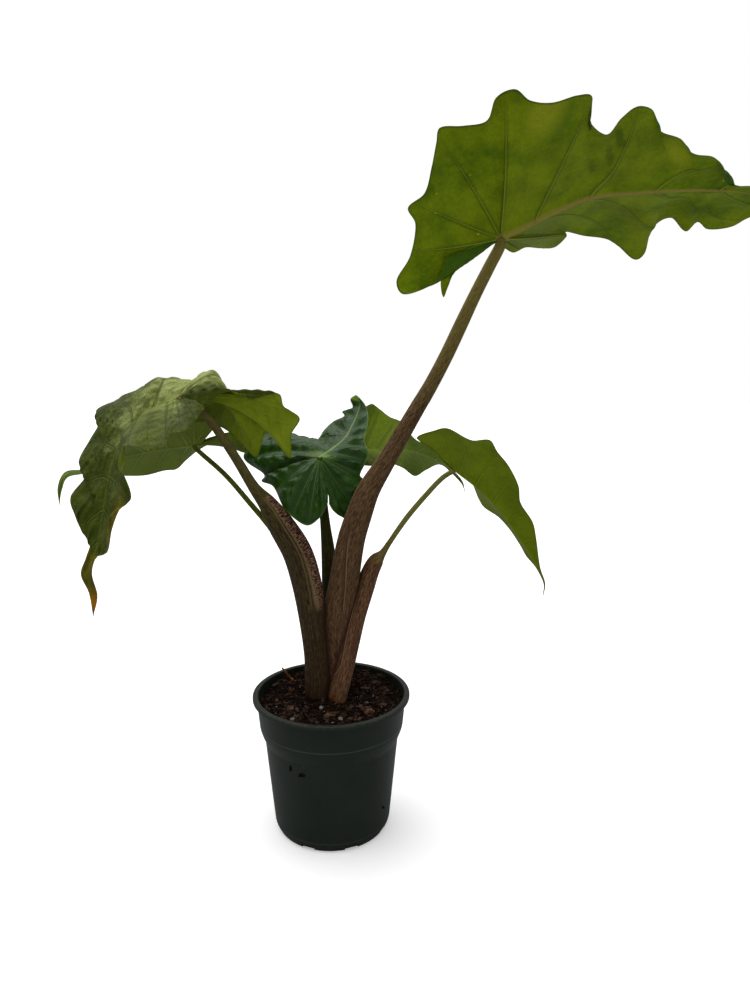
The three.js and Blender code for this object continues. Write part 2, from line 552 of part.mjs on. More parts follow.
function pot() {
  const outside = [[0, 0], ...POT_SIDE, [RIM_RADIUS, BAND_TOP], [RIM_RADIUS, POT_HEIGHT]];
  const inside = [
    [BAND_RADIUS - WALL, POT_HEIGHT],
    ...POT_SIDE.slice(1).reverse().map(([radius, height]) => [radius - WALL, height]),
    [sideRadius(FLOOR) - WALL, FLOOR],
    [0, FLOOR],
  ];
  const shell = toManifold(lathe([...outside, ...inside], ROUND_SIDES));
  const slots = [];
  for (let k = 0; k < SLOT_COUNT; k += 1) {
    const depth = SLOT_INSET + FOOT_FLARE + WALL;
    const slot = new THREE.BoxGeometry(depth, SLOT_WIDTH, 2 * SLOT_HEIGHT);
    slot.translate(FOOT_RADIUS - SLOT_INSET + depth / 2, 0, 0);
    slot.rotateZ((2 * Math.PI * (k + 0.5)) / SLOT_COUNT);
    slots.push(toManifold(slot));
  }
  return cutAll(shell, slots);
}

const SOIL_RADIUS = sideRadius(SOIL_LEVEL) - WALL - GAP;

// Height of the soil's surface at a place, with gentle unevenness that fades out at the wall
function soilHeight(x, y) {
  const fade = 1 - Math.min(Math.hypot(x, y) / SOIL_RADIUS, 1) ** 4;
  const waves = Math.sin(x / 9 + 1) * Math.cos(y / 11) + 0.5 * Math.sin((x + y) / 5);
  return SOIL_LEVEL + SOIL_BUMP * fade * waves;
}

function soil(cutters) {
  const wall = POT_SIDE.slice(1).filter(([, height]) => height < SOIL_LEVEL);
  const profile = [
    [0, FLOOR + GAP],
    [sideRadius(FLOOR + GAP) - WALL - GAP, FLOOR + GAP],
    ...wall.map(([radius, height]) => [radius - WALL - GAP, height]),
    ...SOIL_RINGS.map((share) => [share * SOIL_RADIUS, SOIL_LEVEL]).reverse(),
    [0, SOIL_LEVEL],
  ];
  const geometry = lathe(profile, ROUND_SIDES);
  const position = geometry.getAttribute('position');
  for (let i = 0; i < position.count; i += 1) {
    if (position.getZ(i) < SOIL_LEVEL - GAP) continue;
    position.setZ(i, soilHeight(position.getX(i), position.getY(i)));
  }
  return cutAll(toManifold(geometry), cutters);
}

// Small things on the soil -----------------------------------------------------------------------

function onSoil([share, azimuth]) {
  const angle = THREE.MathUtils.degToRad(azimuth);
  const x = share * SOIL_RADIUS * Math.cos(angle);
  const y = share * SOIL_RADIUS * Math.sin(angle);
  return new THREE.Vector3(x, y, soilHeight(x, y));
}

// A chip of bark: a slanting six-sided slab, lying in the soil
function chip({ place, size, turn, tilt }, grow) {
  const [length, width] = size.map((edge) => edge / 2 + grow);
  const outline = new THREE.Shape([
    new THREE.Vector2(-length, -width * 0.4),
    new THREE.Vector2(-length * 0.55, -width),
    new THREE.Vector2(length * 0.7, -width * 0.8),
    new THREE.Vector2(length, width * 0.1),
    new THREE.Vector2(length * 0.5, width),
    new THREE.Vector2(-length * 0.7, width * 0.75),
  ]);
  const thickness = CHIP_THICKNESS + 2 * grow;
  const geometry = new THREE.ExtrudeGeometry(outline, { depth: thickness, bevelEnabled: false });
  geometry.translate(0, 0, -thickness / 2);
  geometry.rotateX(THREE.MathUtils.degToRad(tilt));
  geometry.rotateZ(THREE.MathUtils.degToRad(turn));
  const centre = onSoil(place);
  geometry.translate(centre.x, centre.y, centre.z + CHIP_THICKNESS * (0.5 - SUNK));
  return toManifold(geometry);
}

function grain({ place, radius }, grow) {
  const geometry = new THREE.IcosahedronGeometry(radius + grow, 1);
  const centre = onSoil(place);
  geometry.translate(centre.x, centre.y, centre.z + radius * (1 - 2 * SUNK));
  return toManifold(geometry);
}

// A dry root: an even tube through three places on and above the soil
function dryRoot(places, grow) {
  const points = places.map(({ place, height }) => onSoil(place).add(new THREE.Vector3(0, 0, height)));
  const last = points.length - 1;
  const ends = [[0, 1], [last, last - 1]];
  for (const [end, next] of ends) {
    points[end].addScaledVector(points[end].clone().sub(points[next]).normalize(), grow);
  }
  const path = new THREE.CatmullRomCurve3(points);
  const radius = ROOT_RADIUS + grow;
  const section = new THREE.Shape();
  for (let k = 0; k < ROOT_SIDES; k += 1) {
    const angle = (2 * Math.PI * k) / ROOT_SIDES;
    const point = [radius * Math.cos(angle), radius * Math.sin(angle)];
    if (k === 0) section.moveTo(...point);
    else section.lineTo(...point);
  }
  return toManifold(new THREE.ExtrudeGeometry(section, { steps: 6, extrudePath: path }));
}

// The basal scale: a thin strip on an arc, standing in the soil in front of the shoots
function basalScale(grow) {
  const inner = SCALE_RADIUS - SCALE_THICKNESS / 2 - grow;
  const outer = SCALE_RADIUS + SCALE_THICKNESS / 2 + grow;
  const reach = grow / SCALE_RADIUS;
  const [from, to] = SCALE_ARC.map((azimuth) => THREE.MathUtils.degToRad(azimuth));
  const outline = [];
  for (let k = 0; k <= SCALE_STEPS; k += 1) {
    const angle = THREE.MathUtils.lerp(from - reach, to + reach, k / SCALE_STEPS);
    outline.push(new THREE.Vector2(outer * Math.cos(angle), outer * Math.sin(angle)));
    outline.unshift(new THREE.Vector2(inner * Math.cos(angle), inner * Math.sin(angle)));
  }
  const depth = SCALE_HEIGHT + SCALE_SUNK + 2 * grow;
  const geometry = new THREE.ExtrudeGeometry(new THREE.Shape(outline), { depth, bevelEnabled: false });
  geometry.translate(...SCALE_CENTRE, SOIL_LEVEL - SCALE_SUNK - grow);
  return toManifold(geometry);
}

// Assembly ---------------------------------------------------------------------------------------

const object = new THREE.Group();

function add(name, solid, color, roughness) {
  const material = new THREE.MeshStandardMaterial({ color, roughness, metalness: 0 });
  const mesh = new THREE.Mesh(toGeometry(solid), material);
  mesh.name = name;
  object.add(mesh);
}

const lift = (solid) => solid.translate([0, 0, SOIL_LEVEL]);

const stems = [];
const stemCutters = [];
for (const leaf of LEAVES) {
  stems.push(largest(cutAll(lift(petiole(leaf, 0)), stemCutters)));
  stemCutters.push(lift(petiole(leaf, GAP)));
}
LEAVES.forEach((leaf, i) => add(`petiole_${leaf.name}`, stems[i], COLOURS.petiole, 0.5));

for (const leaf of LEAVES) {
  const blade = lift(thicken(bladeSheet(leaf), BLADE_THICKNESS * PLANT_SCALE));
  add(`blade_${leaf.name}`, largest(cutAll(blade, stemCutters)), COLOURS.blade, 0.4);
}

const LONG_ROOT = [
  { place: [1.02, 138], height: SOIL_DROP + ROOT_OVER_LIP },
  { place: [0.82, 141], height: ROOT_RADIUS + 1.5 },
  { place: [0.6, 136], height: ROOT_RADIUS / 2 },
];
const SHORT_ROOT = [
  { place: [0.92, 154], height: ROOT_RADIUS + 0.6 },
  { place: [0.8, 152], height: ROOT_RADIUS / 2 },
  { place: [0.64, 154], height: ROOT_RADIUS / 2 },
];

const small = [
  ...CHIPS.map((item) => ({ name: item.name, make: (grow) => chip(item, grow), color: COLOURS.bark })),
  ...GRAINS.map((item) => ({ name: item.name, make: (grow) => grain(item, grow), color: COLOURS.perlite })),
  { name: 'dry_root_long', make: (grow) => dryRoot(LONG_ROOT, grow), color: COLOURS.dry },
  { name: 'dry_root_short', make: (grow) => dryRoot(SHORT_ROOT, grow), color: COLOURS.dry },
  { name: 'basal_scale', make: basalScale, color: COLOURS.dry },
];
for (const { name, make, color } of small) add(name, largest(cutAll(make(0), stemCutters)), color, 0.9);

const pockets = [...stemCutters, ...small.map(({ make }) => make(GAP))];
add('soil', soil(pockets), COLOURS.soil, 0.95);
add('pot', pot(), COLOURS.pot, 0.45);

export default object;
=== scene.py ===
"""Potted alocasia: the plant's blades, petioles and crown, its soil and its nursery pot.

Every length in the tables is in millimetres; points of the plant count from the middle of the soil's surface.
"""
import math

import bpy
import numpy as np
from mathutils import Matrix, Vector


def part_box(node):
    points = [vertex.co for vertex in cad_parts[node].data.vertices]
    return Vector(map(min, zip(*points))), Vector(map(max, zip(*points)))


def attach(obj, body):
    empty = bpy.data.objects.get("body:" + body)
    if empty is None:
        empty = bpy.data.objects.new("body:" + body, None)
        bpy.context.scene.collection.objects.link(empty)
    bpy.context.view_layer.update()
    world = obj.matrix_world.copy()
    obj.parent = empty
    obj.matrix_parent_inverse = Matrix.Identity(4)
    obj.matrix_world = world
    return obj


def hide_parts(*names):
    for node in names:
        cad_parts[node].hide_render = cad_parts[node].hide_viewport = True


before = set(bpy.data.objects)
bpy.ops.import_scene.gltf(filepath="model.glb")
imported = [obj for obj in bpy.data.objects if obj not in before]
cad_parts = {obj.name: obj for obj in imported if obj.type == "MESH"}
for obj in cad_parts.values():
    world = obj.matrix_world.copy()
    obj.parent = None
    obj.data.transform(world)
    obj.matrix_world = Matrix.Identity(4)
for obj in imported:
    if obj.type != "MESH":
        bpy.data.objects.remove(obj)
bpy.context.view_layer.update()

MM = 0.001
POT_LOW, POT_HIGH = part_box("pot")
POT_HEIGHT = (POT_HIGH[2] - POT_LOW[2]) / MM
RIM_RADIUS = (POT_HIGH[0] - POT_LOW[0]) / 2 / MM
SOIL_DROP = 9.5
SOIL_LEVEL = POT_HEIGHT - SOIL_DROP

# Leaves. A midrib runs from the tip to the junction with the petiole. A half is a list of ribs: station, x, y, z
# of the margin, and the bow of the rib, upwards only or x, y, z. Stations 0 to 1 go down the midrib from the tip
# to the junction, and 1 to 2 fan round the basal lobe. A petiole is a list of oval sections (x, y, z, half
# across, half along, groove), and "open" is the side its sheath opens to.
LEAVES = {
    "tall": {
        "midrib": (
            (461, 30, 478), (436, 28, 490), (396, 24, 496), (347, 18, 497), (290, 16, 494), (246, 18, 490),
            (207, 20, 475), (181, 22, 462), (163, 22, 454),
        ),
        "left": (
            (0, 461, 30, 478), (0.1, 443, 52, 482, 2), (0.19, 422, 74, 483, 6), (0.25, 409, 88, 476, 8),
            (0.29, 388, 94, 475, 8), (0.31, 375, 88, 481, 8), (0.33, 367, 96, 473, 8), (0.36, 348, 88, 485, 10),
            (0.42, 335, 106, 477, 12), (0.47, 336, 126, 456, 14), (0.52, 327, 132, 450, 14),
            (0.58, 308, 128, 463, 12), (0.66, 293, 124, 470, 12), (0.78, 267, 116, 472, 12),
            (0.92, 245, 104, 474, 10), (1.05, 245, 104, 469), (1.2, 234, 106, 459), (1.4, 217, 100, 457),
            (1.6, 200, 88, 456), (1.8, 184, 68, 448), (2, 170, 40, 448),
        ),
        "right": (
            (0, 461, 30, 478), (0.1, 420, 12, 496), (0.19, 386, 4, 497), (0.23, 362, -2, 497),
            (0.26, 351, -16, 508), (0.29, 340, -22, 515), (0.33, 324, -26, 516), (0.36, 314, -32, 518),
            (0.39, 304, -39, 525), (0.44, 283, -48, 529), (0.5, 270, -64, 540), (0.54, 256, -70, 541),
            (0.6, 245, -64, 534), (0.66, 236, -55, 524), (0.71, 218, -68, 531), (0.76, 214, -88, 542),
            (0.82, 202, -92, 542), (0.9, 183, -88, 538), (0.98, 165, -90, 539), (1.04, 152, -96, 545),
            (1.1, 139, -86, 542), (1.15, 134, -74, 529), (1.2, 116, -68, 527), (1.26, 97, -66, 526),
            (1.3, 95, -58, 517), (1.37, 92, -46, 500), (1.43, 87, -36, 482), (1.48, 73, -32, 471),
            (1.53, 80, -26, 458), (1.59, 76, -16, 433), (1.66, 64, -12, 412), (1.71, 70, -12, 400),
            (1.77, 91, -8, 406), (1.82, 103, -4, 416), (1.86, 111, 0, 434, 2), (1.89, 105, -2, 415, -8, 0, 16),
            (1.925, 108, -4, 398, -16, 0, 32), (1.955, 116, 0, 418, -8, 0, 14), (1.98, 136, 8, 437, 2),
            (2, 156, 18, 450),
        ),
        "open": (-0.62, 0.62, 0.42),
        "petiole": (
            (1, 17, -22, 8, 8, 0), (2, 17, -2, 11, 10, 0), (3, 20, 40, 14, 13, 0), (5, 21, 79, 15, 15, 0),
            (12, 22, 115, 15, 15.5, 2), (20, 25, 161, 13.5, 14.5, 4), (29, 26, 190, 12.5, 13.5, 6),
            (38, 26, 213, 11, 12, 7), (53, 25, 238, 9.5, 9.8, 6), (66, 25, 260, 8.5, 8.8, 4),
            (82, 24, 288, 8, 8, 1), (99, 24, 317, 7.1, 7.1, 0), (114, 24, 346, 6.8, 6.8, 0),
            (127, 24, 374, 6.6, 6.6, 0), (140, 23, 402, 6, 6, 0), (154, 23, 430, 5.6, 5.6, 0),
            (163, 22, 448, 5.2, 5.2, 0),
        ),
    },
    "left": {
        "midrib": (
            (-219, -48, 105), (-218, -48, 127), (-223, -46, 145), (-213, -42, 172), (-208, -32, 208),
            (-204, -18, 243), (-194, 2, 275), (-177, 18, 293), (-152, 30, 303),
        ),
        "left": (
            (0, -219, -48, 105), (0.08, -213, -50, 126), (0.14, -215, -54, 148), (0.2, -207, -60, 166),
            (0.24, -196, -64, 171), (0.29, -189, -68, 193), (0.33, -180, -72, 211), (0.37, -168, -76, 222),
            (0.42, -172, -76, 240, 4, 0, 0), (0.5, -178, -74, 247, 16, 0, 6), (0.58, -177, -76, 257, 18, 0, 8),
            (0.66, -170, -80, 268, 12, 0, 8), (0.74, -163, -84, 269, 8), (0.84, -147, -88, 265, 0, -4, 8),
            (0.95, -136, -84, 268, 0, -4, 8), (1.1, -132, -72, 276, 0, -4, 8), (1.4, -119, -54, 282, 0, -4, 8),
            (1.7, -118, -24, 291, 0, -2, 6), (2, -118, 2, 296, 4),
        ),
        "right": (
            (0, -219, -48, 105), (0.08, -222, -47, 128), (0.13, -229, -45, 145), (0.18, -224, -42, 161),
            (0.22, -220, -36, 178), (0.26, -231, -30, 183), (0.3, -240, -22, 196), (0.34, -246, -14, 213),
            (0.37, -234, -6, 231), (0.42, -244, 6, 244, 4), (0.48, -237, 20, 264, 6), (0.54, -231, 34, 281, 8),
            (0.6, -238, 46, 292, 8), (0.68, -224, 70, 300, -4, 0, 24), (0.76, -210, 92, 300, 6, 0, 36),
            (0.83, -195, 106, 288, 24, 0, 68), (0.9, -181, 110, 290, 20, 0, 60), (1, -164, 112, 275, 24, 0, 58),
            (1.12, -139, 98, 276, 48, 0, 76), (1.22, -113, 74, 269, 36, 0, 74), (1.32, -93, 60, 254, 18, 0, 58),
            (1.38, -78, 52, 243, 14, 0, 46), (1.45, -66, 48, 268, 10, 0, 30), (1.52, -43, 42, 243, 12, 0, 38),
            (1.6, -40, 38, 267, 8, 0, 24), (1.68, -31, 35, 284, 6, 0, 18), (1.76, -46, 31, 296, 4, 0, 14),
            (1.84, -52, 28, 309, 10), (1.9, -78, 24, 304, 8), (1.95, -99, 22, 312, 8), (2, -120, 18, 296, 4),
        ),
        "open": (0.74, -0.53, 0.42),
        "petiole": (
            (-12, 11, -19, 8, 8, 0), (-14, 11, 1, 12, 14, 0), (-15, 13, 43, 13, 14, 2), (-19, 14, 81, 13, 15, 4),
            (-25, 16, 119, 13, 17, 7), (-34, 18, 150, 12.5, 17.2, 10), (-50, 20, 178, 11, 15.5, 10),
            (-63, 23, 198, 8, 11, 7), (-77, 25, 215, 5.8, 6, 1), (-92, 27, 240, 4.9, 4.9, 0),
            (-107, 28, 264, 4.5, 4.5, 0), (-121, 29, 284, 4.3, 4.3, 0), (-136, 30, 297, 4.2, 4.2, 0),
        ),
    },
    "left_rear": {
        "midrib": (
            (-284, 48, 193), (-283, 48, 211), (-276, 50, 225), (-256, 50, 231), (-227, 50, 240), (-187, 50, 249),
            (-142, 50, 255),
        ),
        "left": (
            (0, -284, 48, 193), (0.1, -279, 46, 210), (0.2, -271, 44, 223), (0.3, -247, 36, 229),
            (0.45, -222, 24, 245, 2), (0.6, -198, 14, 260, 4), (0.8, -167, 12, 272, 4), (1.1, -143, 26, 279, 4),
            (1.4, -126, 40, 281, 2), (1.6, -117, 44, 278, 2), (2, -132, 50, 259),
        ),
        "right": (
            (0, -284, 48, 193), (0.1, -285, 50, 212), (0.2, -278, 54, 227), (0.3, -263, 62, 228),
            (0.42, -248, 72, 222, 2), (0.55, -225, 82, 219, 4), (0.68, -204, 86, 219, 6), (0.8, -184, 86, 224, 6),
            (0.9, -170, 82, 226, 6), (1.1, -158, 78, 236, 4), (1.35, -146, 84, 246, 4), (1.6, -126, 90, 257, 4),
            (1.7, -114, 92, 262, 4), (1.8, -99, 92, 243, 6), (1.87, -90, 88, 253, 4), (1.94, -103, 78, 267, 4),
            (2, -132, 54, 258, 2),
        ),
        "open": (0.7, 0, 0.7),
        "petiole": (
            (-17, 33, -30, 4, 4, 0), (-16, 34, -5, 6, 6, 0), (-21, 36, 39, 6, 6, 0), (-30, 40, 93, 6, 6, 0),
            (-44, 44, 135, 5, 5, 0), (-62, 48, 165, 3.2, 3.2, 0), (-86, 50, 195, 2.8, 2.8, 0),
            (-111, 50, 225, 2.6, 2.6, 0), (-139, 50, 251, 2.4, 2.4, 0),
        ),
    },
    "centre": {
        "midrib": (
            (23, 122, 304), (28, 120, 296), (26, 112, 286), (20, 100, 273), (13, 88, 261), (1, 70, 251),
            (-13, 50, 243),
        ),
        "left": (
            (0, 23, 122, 304), (0.08, 17, 123, 299), (0.14, 19, 122, 290), (0.2, 8, 122, 286), (0.28, 10, 118, 281),
            (0.4, -2, 118, 275), (0.5, -12, 114, 266), (0.6, -21, 110, 255), (0.75, -45, 106, 255, 2),
            (0.88, -74, 108, 265, 4), (1, -99, 94, 239, 8), (1.12, -74, 72, 222, 0, -4, 4),
            (1.2, -75, 62, 216, 0, -4, 4), (1.28, -61, 46, 213, 0, -4, 4), (1.4, -48, 22, 196, 0, -6, 4),
            (1.55, -34, 14, 184, 0, -6, 4), (1.68, -22, 12, 179, 0, -6, 4), (1.8, -11, 16, 186, 0, -4, 2),
            (1.92, -5, 22, 195, 0, -2, 2), (2, -3, 26, 200),
        ),
        "right": (
            (0, 23, 122, 304), (0.08, 27, 120, 301), (0.16, 34, 110, 293), (0.3, 37, 100, 283), (0.45, 36, 88, 270),
            (0.6, 33, 78, 259), (0.75, 37, 66, 246, 2), (0.9, 34, 60, 235, 2), (1.05, 29, 54, 224, 2),
            (1.2, 33, 52, 217, 0, -4, 2), (1.35, 27, 46, 199, 0, -4, 2), (1.5, 17, 41, 182, 0, -6, 2),
            (1.7, 9, 34, 184, 0, -6, 2), (1.85, 2, 28, 191, 0, -4, 2), (2, -2, 26, 198),
        ),
        "open": (0, -1, 0.3),
        "petiole": (
            (-1, 41, -33, 5, 5, 0), (-1, 42, -8, 7, 7, 0), (-2, 46, 47, 8, 8, 0), (-4, 50, 101, 8, 8, 0),
            (-5, 53, 138, 7.4, 7, 0), (-8, 56, 170, 5.4, 5.4, 0), (-11, 58, 202, 4.4, 4.4, 0),
            (-13, 54, 231, 3.8, 3.8, 0),
        ),
    },
    "right": {
        "midrib": (
            (226, 60, 91), (226, 60, 107), (217, 58, 126), (198, 52, 155), (172, 44, 190), (150, 38, 212),
            (126, 34, 231),
        ),
        "left": (
            (0, 226, 60, 91), (0.08, 226, 62, 105), (0.16, 218, 64, 121), (0.26, 208, 70, 133),
            (0.36, 202, 76, 144, 2), (0.46, 192, 84, 159, 4), (0.58, 180, 90, 172, 6), (0.7, 165, 92, 182, 6),
            (0.8, 158, 90, 192, 6), (0.9, 151, 88, 208, 6), (1, 144, 84, 220, 6), (1.3, 125, 82, 238, 8),
            (1.6, 105, 78, 251, 8), (1.8, 100, 70, 255, 6), (2, 121, 42, 235),
        ),
        "right": (
            (0, 226, 60, 91), (0.08, 227, 58, 106), (0.16, 220, 54, 125), (0.28, 212, 42, 159, 2),
            (0.36, 206, 34, 178, 4), (0.46, 191, 24, 200, 6), (0.54, 186, 12, 219, 8), (0.64, 174, 2, 240, 8),
            (0.74, 161, -8, 255, 8), (0.84, 152, -16, 267, 8), (0.95, 135, -18, 267, 6), (1.15, 113, -20, 278, 4),
            (1.35, 100, -16, 276, 2), (1.6, 84, -6, 268), (1.75, 98, 4, 258), (1.88, 106, 14, 248),
            (2, 122, 28, 233),
        ),
        "open": (-0.5, -0.3, 0.6),
        "petiole": (
            (6, 3, -15, 6, 5, 0), (5, 3, 1, 14, 8, 0), (12, 8, 26, 11, 9, 0), (18, 15, 53, 10, 10, 0),
            (25, 22, 83, 10.5, 10, 0), (33, 27, 108, 10, 10, 0), (40, 29, 128, 9, 9, 0), (46, 30, 139, 8, 7.5, 0),
            (52, 31, 146, 4, 4, 0), (59, 31, 157, 2.8, 2.8, 0), (77, 33, 183, 2.8, 2.8, 0),
            (97, 34, 207, 2.7, 2.7, 0), (113, 34, 224, 2.6, 2.6, 0), (124, 34, 231, 2.4, 2.4, 0),
        ),
    },
    "rear": {
        "midrib": (
            (148, 132, 192), (145, 132, 203), (136, 132, 214), (119, 132, 227), (90, 130, 239), (61, 128, 244),
            (25, 124, 242),
        ),
        "left": (
            (0, 148, 132, 192), (0.08, 145, 132, 205), (0.16, 136, 134, 216), (0.28, 119, 140, 231),
            (0.42, 103, 146, 245), (0.55, 89, 152, 254, -2), (0.68, 76, 158, 271, -2), (0.8, 62, 162, 277, -2),
            (0.95, 50, 164, 286, -2), (1.15, 40, 164, 292), (1.4, 27, 158, 283), (1.7, 18, 146, 263),
            (2, 19, 130, 246),
        ),
        "right": (
            (0, 148, 132, 192), (0.08, 144, 131, 202), (0.16, 133, 128, 214), (0.28, 118, 122, 226),
            (0.42, 101, 106, 222, 2), (0.55, 88, 94, 217, 4), (0.68, 75, 92, 226, 4), (0.8, 63, 94, 230, 4),
            (0.95, 48, 96, 228, 4), (1.15, 34, 98, 228, 4), (1.4, 25, 102, 230, 2), (1.7, 17, 110, 234),
            (2, 19, 120, 238),
        ),
        "open": (0, 1, 0.3),
        "petiole": (
            (8, 45, -35, 4, 4, 0), (10, 46, -10, 6, 6, 0), (13, 53, 44, 7, 7, 0), (15, 64, 97, 6, 6, 0),
            (17, 81, 148, 4, 4, 0), (18, 100, 189, 3, 3, 0), (21, 114, 221, 2.6, 2.6, 0),
            (23, 122, 239, 2.4, 2.4, 0),
        ),
    },
}

# Veins: (station on the midrib, station at the margin) of the side veins of each half.
VEINS = {
    "tall": {
        "left": ((0.32, 0.12), (0.52, 0.2), (0.74, 0.34), (0.93, 0.62), (1.1, 1.0), (1.35, 1.35), (1.7, 1.7)),
        "right": ((0.32, 0.12), (0.52, 0.2), (0.715, 0.53), (0.89, 0.76), (1.03, 1.07), (1.24, 1.28),
                  (1.47, 1.46), (1.6, 1.58), (1.72, 1.71), (1.86, 1.86)),
    },
    "left": {
        "left": ((0.3, 0.08), (0.43, 0.2), (0.56, 0.34), (0.69, 0.5), (0.83, 0.71), (0.96, 0.98), (1.25, 1.25),
                 (1.6, 1.6)),
        "right": ((0.3, 0.08), (0.42, 0.18), (0.54, 0.31), (0.66, 0.46), (0.79, 0.65), (0.9, 0.84),
                  (1.02, 1.04), (1.2, 1.2), (1.34, 1.34), (1.52, 1.52), (1.7, 1.7), (1.87, 1.87)),
    },
    "centre": {
        "left": ((0.3, 0.2), (0.5, 0.42), (0.68, 0.64), (0.84, 0.86), (0.97, 1.02), (1.14, 1.14), (1.3, 1.3),
                 (1.5, 1.5), (1.68, 1.68), (1.85, 1.85)),
        "right": ((0.3, 0.2), (0.46, 0.38), (0.6, 0.52), (0.74, 0.68), (0.88, 0.86), (1.04, 1.04), (1.22, 1.22),
                  (1.42, 1.42), (1.62, 1.62), (1.82, 1.82)),
    },
}
PLAIN_VEINS = ((0.22, 0.12), (0.38, 0.25), (0.54, 0.4), (0.7, 0.56), (0.85, 0.74), (0.97, 0.95), (1.22, 1.22),
               (1.5, 1.5), (1.76, 1.76))

# How each blade is made: stations along and round the lobes, columns across each half, thickness, height of
# the quilting between the veins, height of the cross ripples on it, and vein ridge underneath.
BLADES = {
    "tall": dict(rib=4.5, along=230, fan=150, across=44, thick=0.55, quilt=1.7, ripple=0.3, ridge=2.2),
    "left": dict(rib=2.2, along=230, fan=150, across=44, thick=0.55, quilt=2.1, ripple=0.9, ridge=1.0),
    "left_rear": dict(rib=1.2, along=130, fan=80, across=28, thick=0.45, quilt=0.5, ripple=0.1, ridge=0.7),
    "centre": dict(rib=1.4, along=170, fan=130, across=44, thick=0.5, quilt=4.2, ripple=0.75, ridge=0.8),
    "right": dict(rib=1.4, along=150, fan=90, across=30, thick=0.45, quilt=0.5, ripple=0.1, ridge=0.7),
    "rear": dict(rib=1.2, along=130, fan=80, across=28, thick=0.45, quilt=0.6, ripple=0.15, ridge=0.7),
}


# Curves and meshes ------------------------------------------------------------------------------------

def smooth(keys, values, t):
    """Values at t through keys at uneven parameters: a cubic Hermite curve, whose slope at each key is the
    chord between its two neighbours divided by their distance in t."""
    keys, values = np.asarray(keys, float), np.asarray(values, float)
    before = np.r_[0, np.arange(len(keys) - 1)]
    after = np.r_[np.arange(1, len(keys)), len(keys) - 1]
    slopes = (values[after] - values[before]) / (keys[after] - keys[before])[:, None]
    t = np.clip(t, keys[0], keys[-1])
    k = np.clip(np.searchsorted(keys, t, side="right") - 1, 0, len(keys) - 2)
    h = (keys[k + 1] - keys[k])[:, None]
    s = (t - keys[k])[:, None] / h
    return (
        (2 * s**3 - 3 * s**2 + 1) * values[k] + (s**3 - 2 * s**2 + s) * h * slopes[k]
        + (3 * s**2 - 2 * s**3) * values[k + 1] + (s**3 - s**2) * h * slopes[k + 1]
    )


def shares(points):
    """Share of the whole length at each point of a chain."""
    steps = np.linalg.norm(np.diff(np.asarray(points, float), axis=0), axis=1)
    return np.r_[0, np.cumsum(steps)] / steps.sum()


def unit(v):
    """Vectors divided by their lengths."""
    return v / np.maximum(np.linalg.norm(v, axis=-1, keepdims=True), 1e-9)


def vertex_normals(points, triangles):
    """Sum of the normals of the triangles round each point, by area, made unit length."""
    a, b, c = (points[triangles[:, k]] for k in range(3))
    face = np.cross(b - a, c - a)
    total = np.zeros_like(points)
    for k in range(3):
        np.add.at(total, triangles[:, k], face)
    return unit(total)


def grid_faces(rows, columns, first=0, closed=True):
    """Quads between the rows of a grid of points. Each row is a ring where the grid is closed."""
    i, k = np.meshgrid(np.arange(rows - 1), np.arange(columns if closed else columns - 1), indexing="ij")
    a, b = first + i * columns + k, first + i * columns + (k + 1) % columns
    return np.stack([a, b, b + columns, a + columns], -1).reshape(-1, 4)


def poled_faces(rings, sides):
    """Faces of a grid of rings between two poles, its first point and its last: quads and two fans."""
    k, last = np.arange(sides), 1 + rings * sides
    top, after = last - sides, (np.arange(sides) + 1) % sides
    fans = [np.stack([0 * k, 1 + after, 1 + k], -1), np.stack([0 * k + last, top + k, top + after], -1)]
    return [grid_faces(rings, sides, 1), np.concatenate(fans)]


def turned_over(faces):
    """The same faces, from the same first corner, seen from the other side."""
    return np.roll(faces[:, ::-1], 1, axis=1)


def add_object(name, data):
    """A new object in the scene."""
    made = bpy.data.objects.new(name, data)
    bpy.context.scene.collection.objects.link(made)
    return made


def box_of(name):
    """The low and the high corner of the box that a solid fills, in millimetres."""
    return [np.array(corner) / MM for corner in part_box(name)]


def mesh_object(name, points, faces, materials, stands_for=(), attributes=None, face_materials=None,
                sharp=60):
    """Puts an array of points in millimetres and arrays of faces into a mesh that rides on the plant."""
    mesh = bpy.data.meshes.new(name)
    faces = [np.asarray(f) for f in (faces if isinstance(faces, list) else [faces])]
    counts = np.concatenate([np.full(len(f), f.shape[1]) for f in faces])
    corners = np.concatenate([f.ravel() for f in faces]).astype(np.int32)
    mesh.vertices.add(len(points))
    mesh.vertices.foreach_set("co", (np.asarray(points, float) * MM).ravel())
    mesh.loops.add(len(corners))
    mesh.loops.foreach_set("vertex_index", corners)
    mesh.polygons.add(len(counts))
    mesh.polygons.foreach_set("loop_start", np.r_[0, np.cumsum(counts)[:-1]].astype(np.int32))
    mesh.polygons.foreach_set("use_smooth", np.ones(len(counts), bool))
    for material in materials:
        mesh.materials.append(material)
    if face_materials is not None:
        mesh.polygons.foreach_set("material_index", face_materials.astype(np.int32))
    for key, values in (attributes or {}).items():
        values = np.asarray(values, float)
        kind = "FLOAT" if values.ndim == 1 else "FLOAT_VECTOR"
        layer = mesh.attributes.new(key, kind, "POINT" if len(values) == len(points) else "CORNER")
        layer.data.foreach_set("value" if kind == "FLOAT" else "vector", values.ravel())
    mesh.update(calc_edges=True)
    mesh.validate()
    mesh.set_sharp_from_angle(angle=math.radians(sharp))
    piece = add_object(name, mesh)
    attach(piece, "root")
    if stands_for:
        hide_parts(*stands_for)
    return piece


# Blades -----------------------------------------------------------------------------------------------

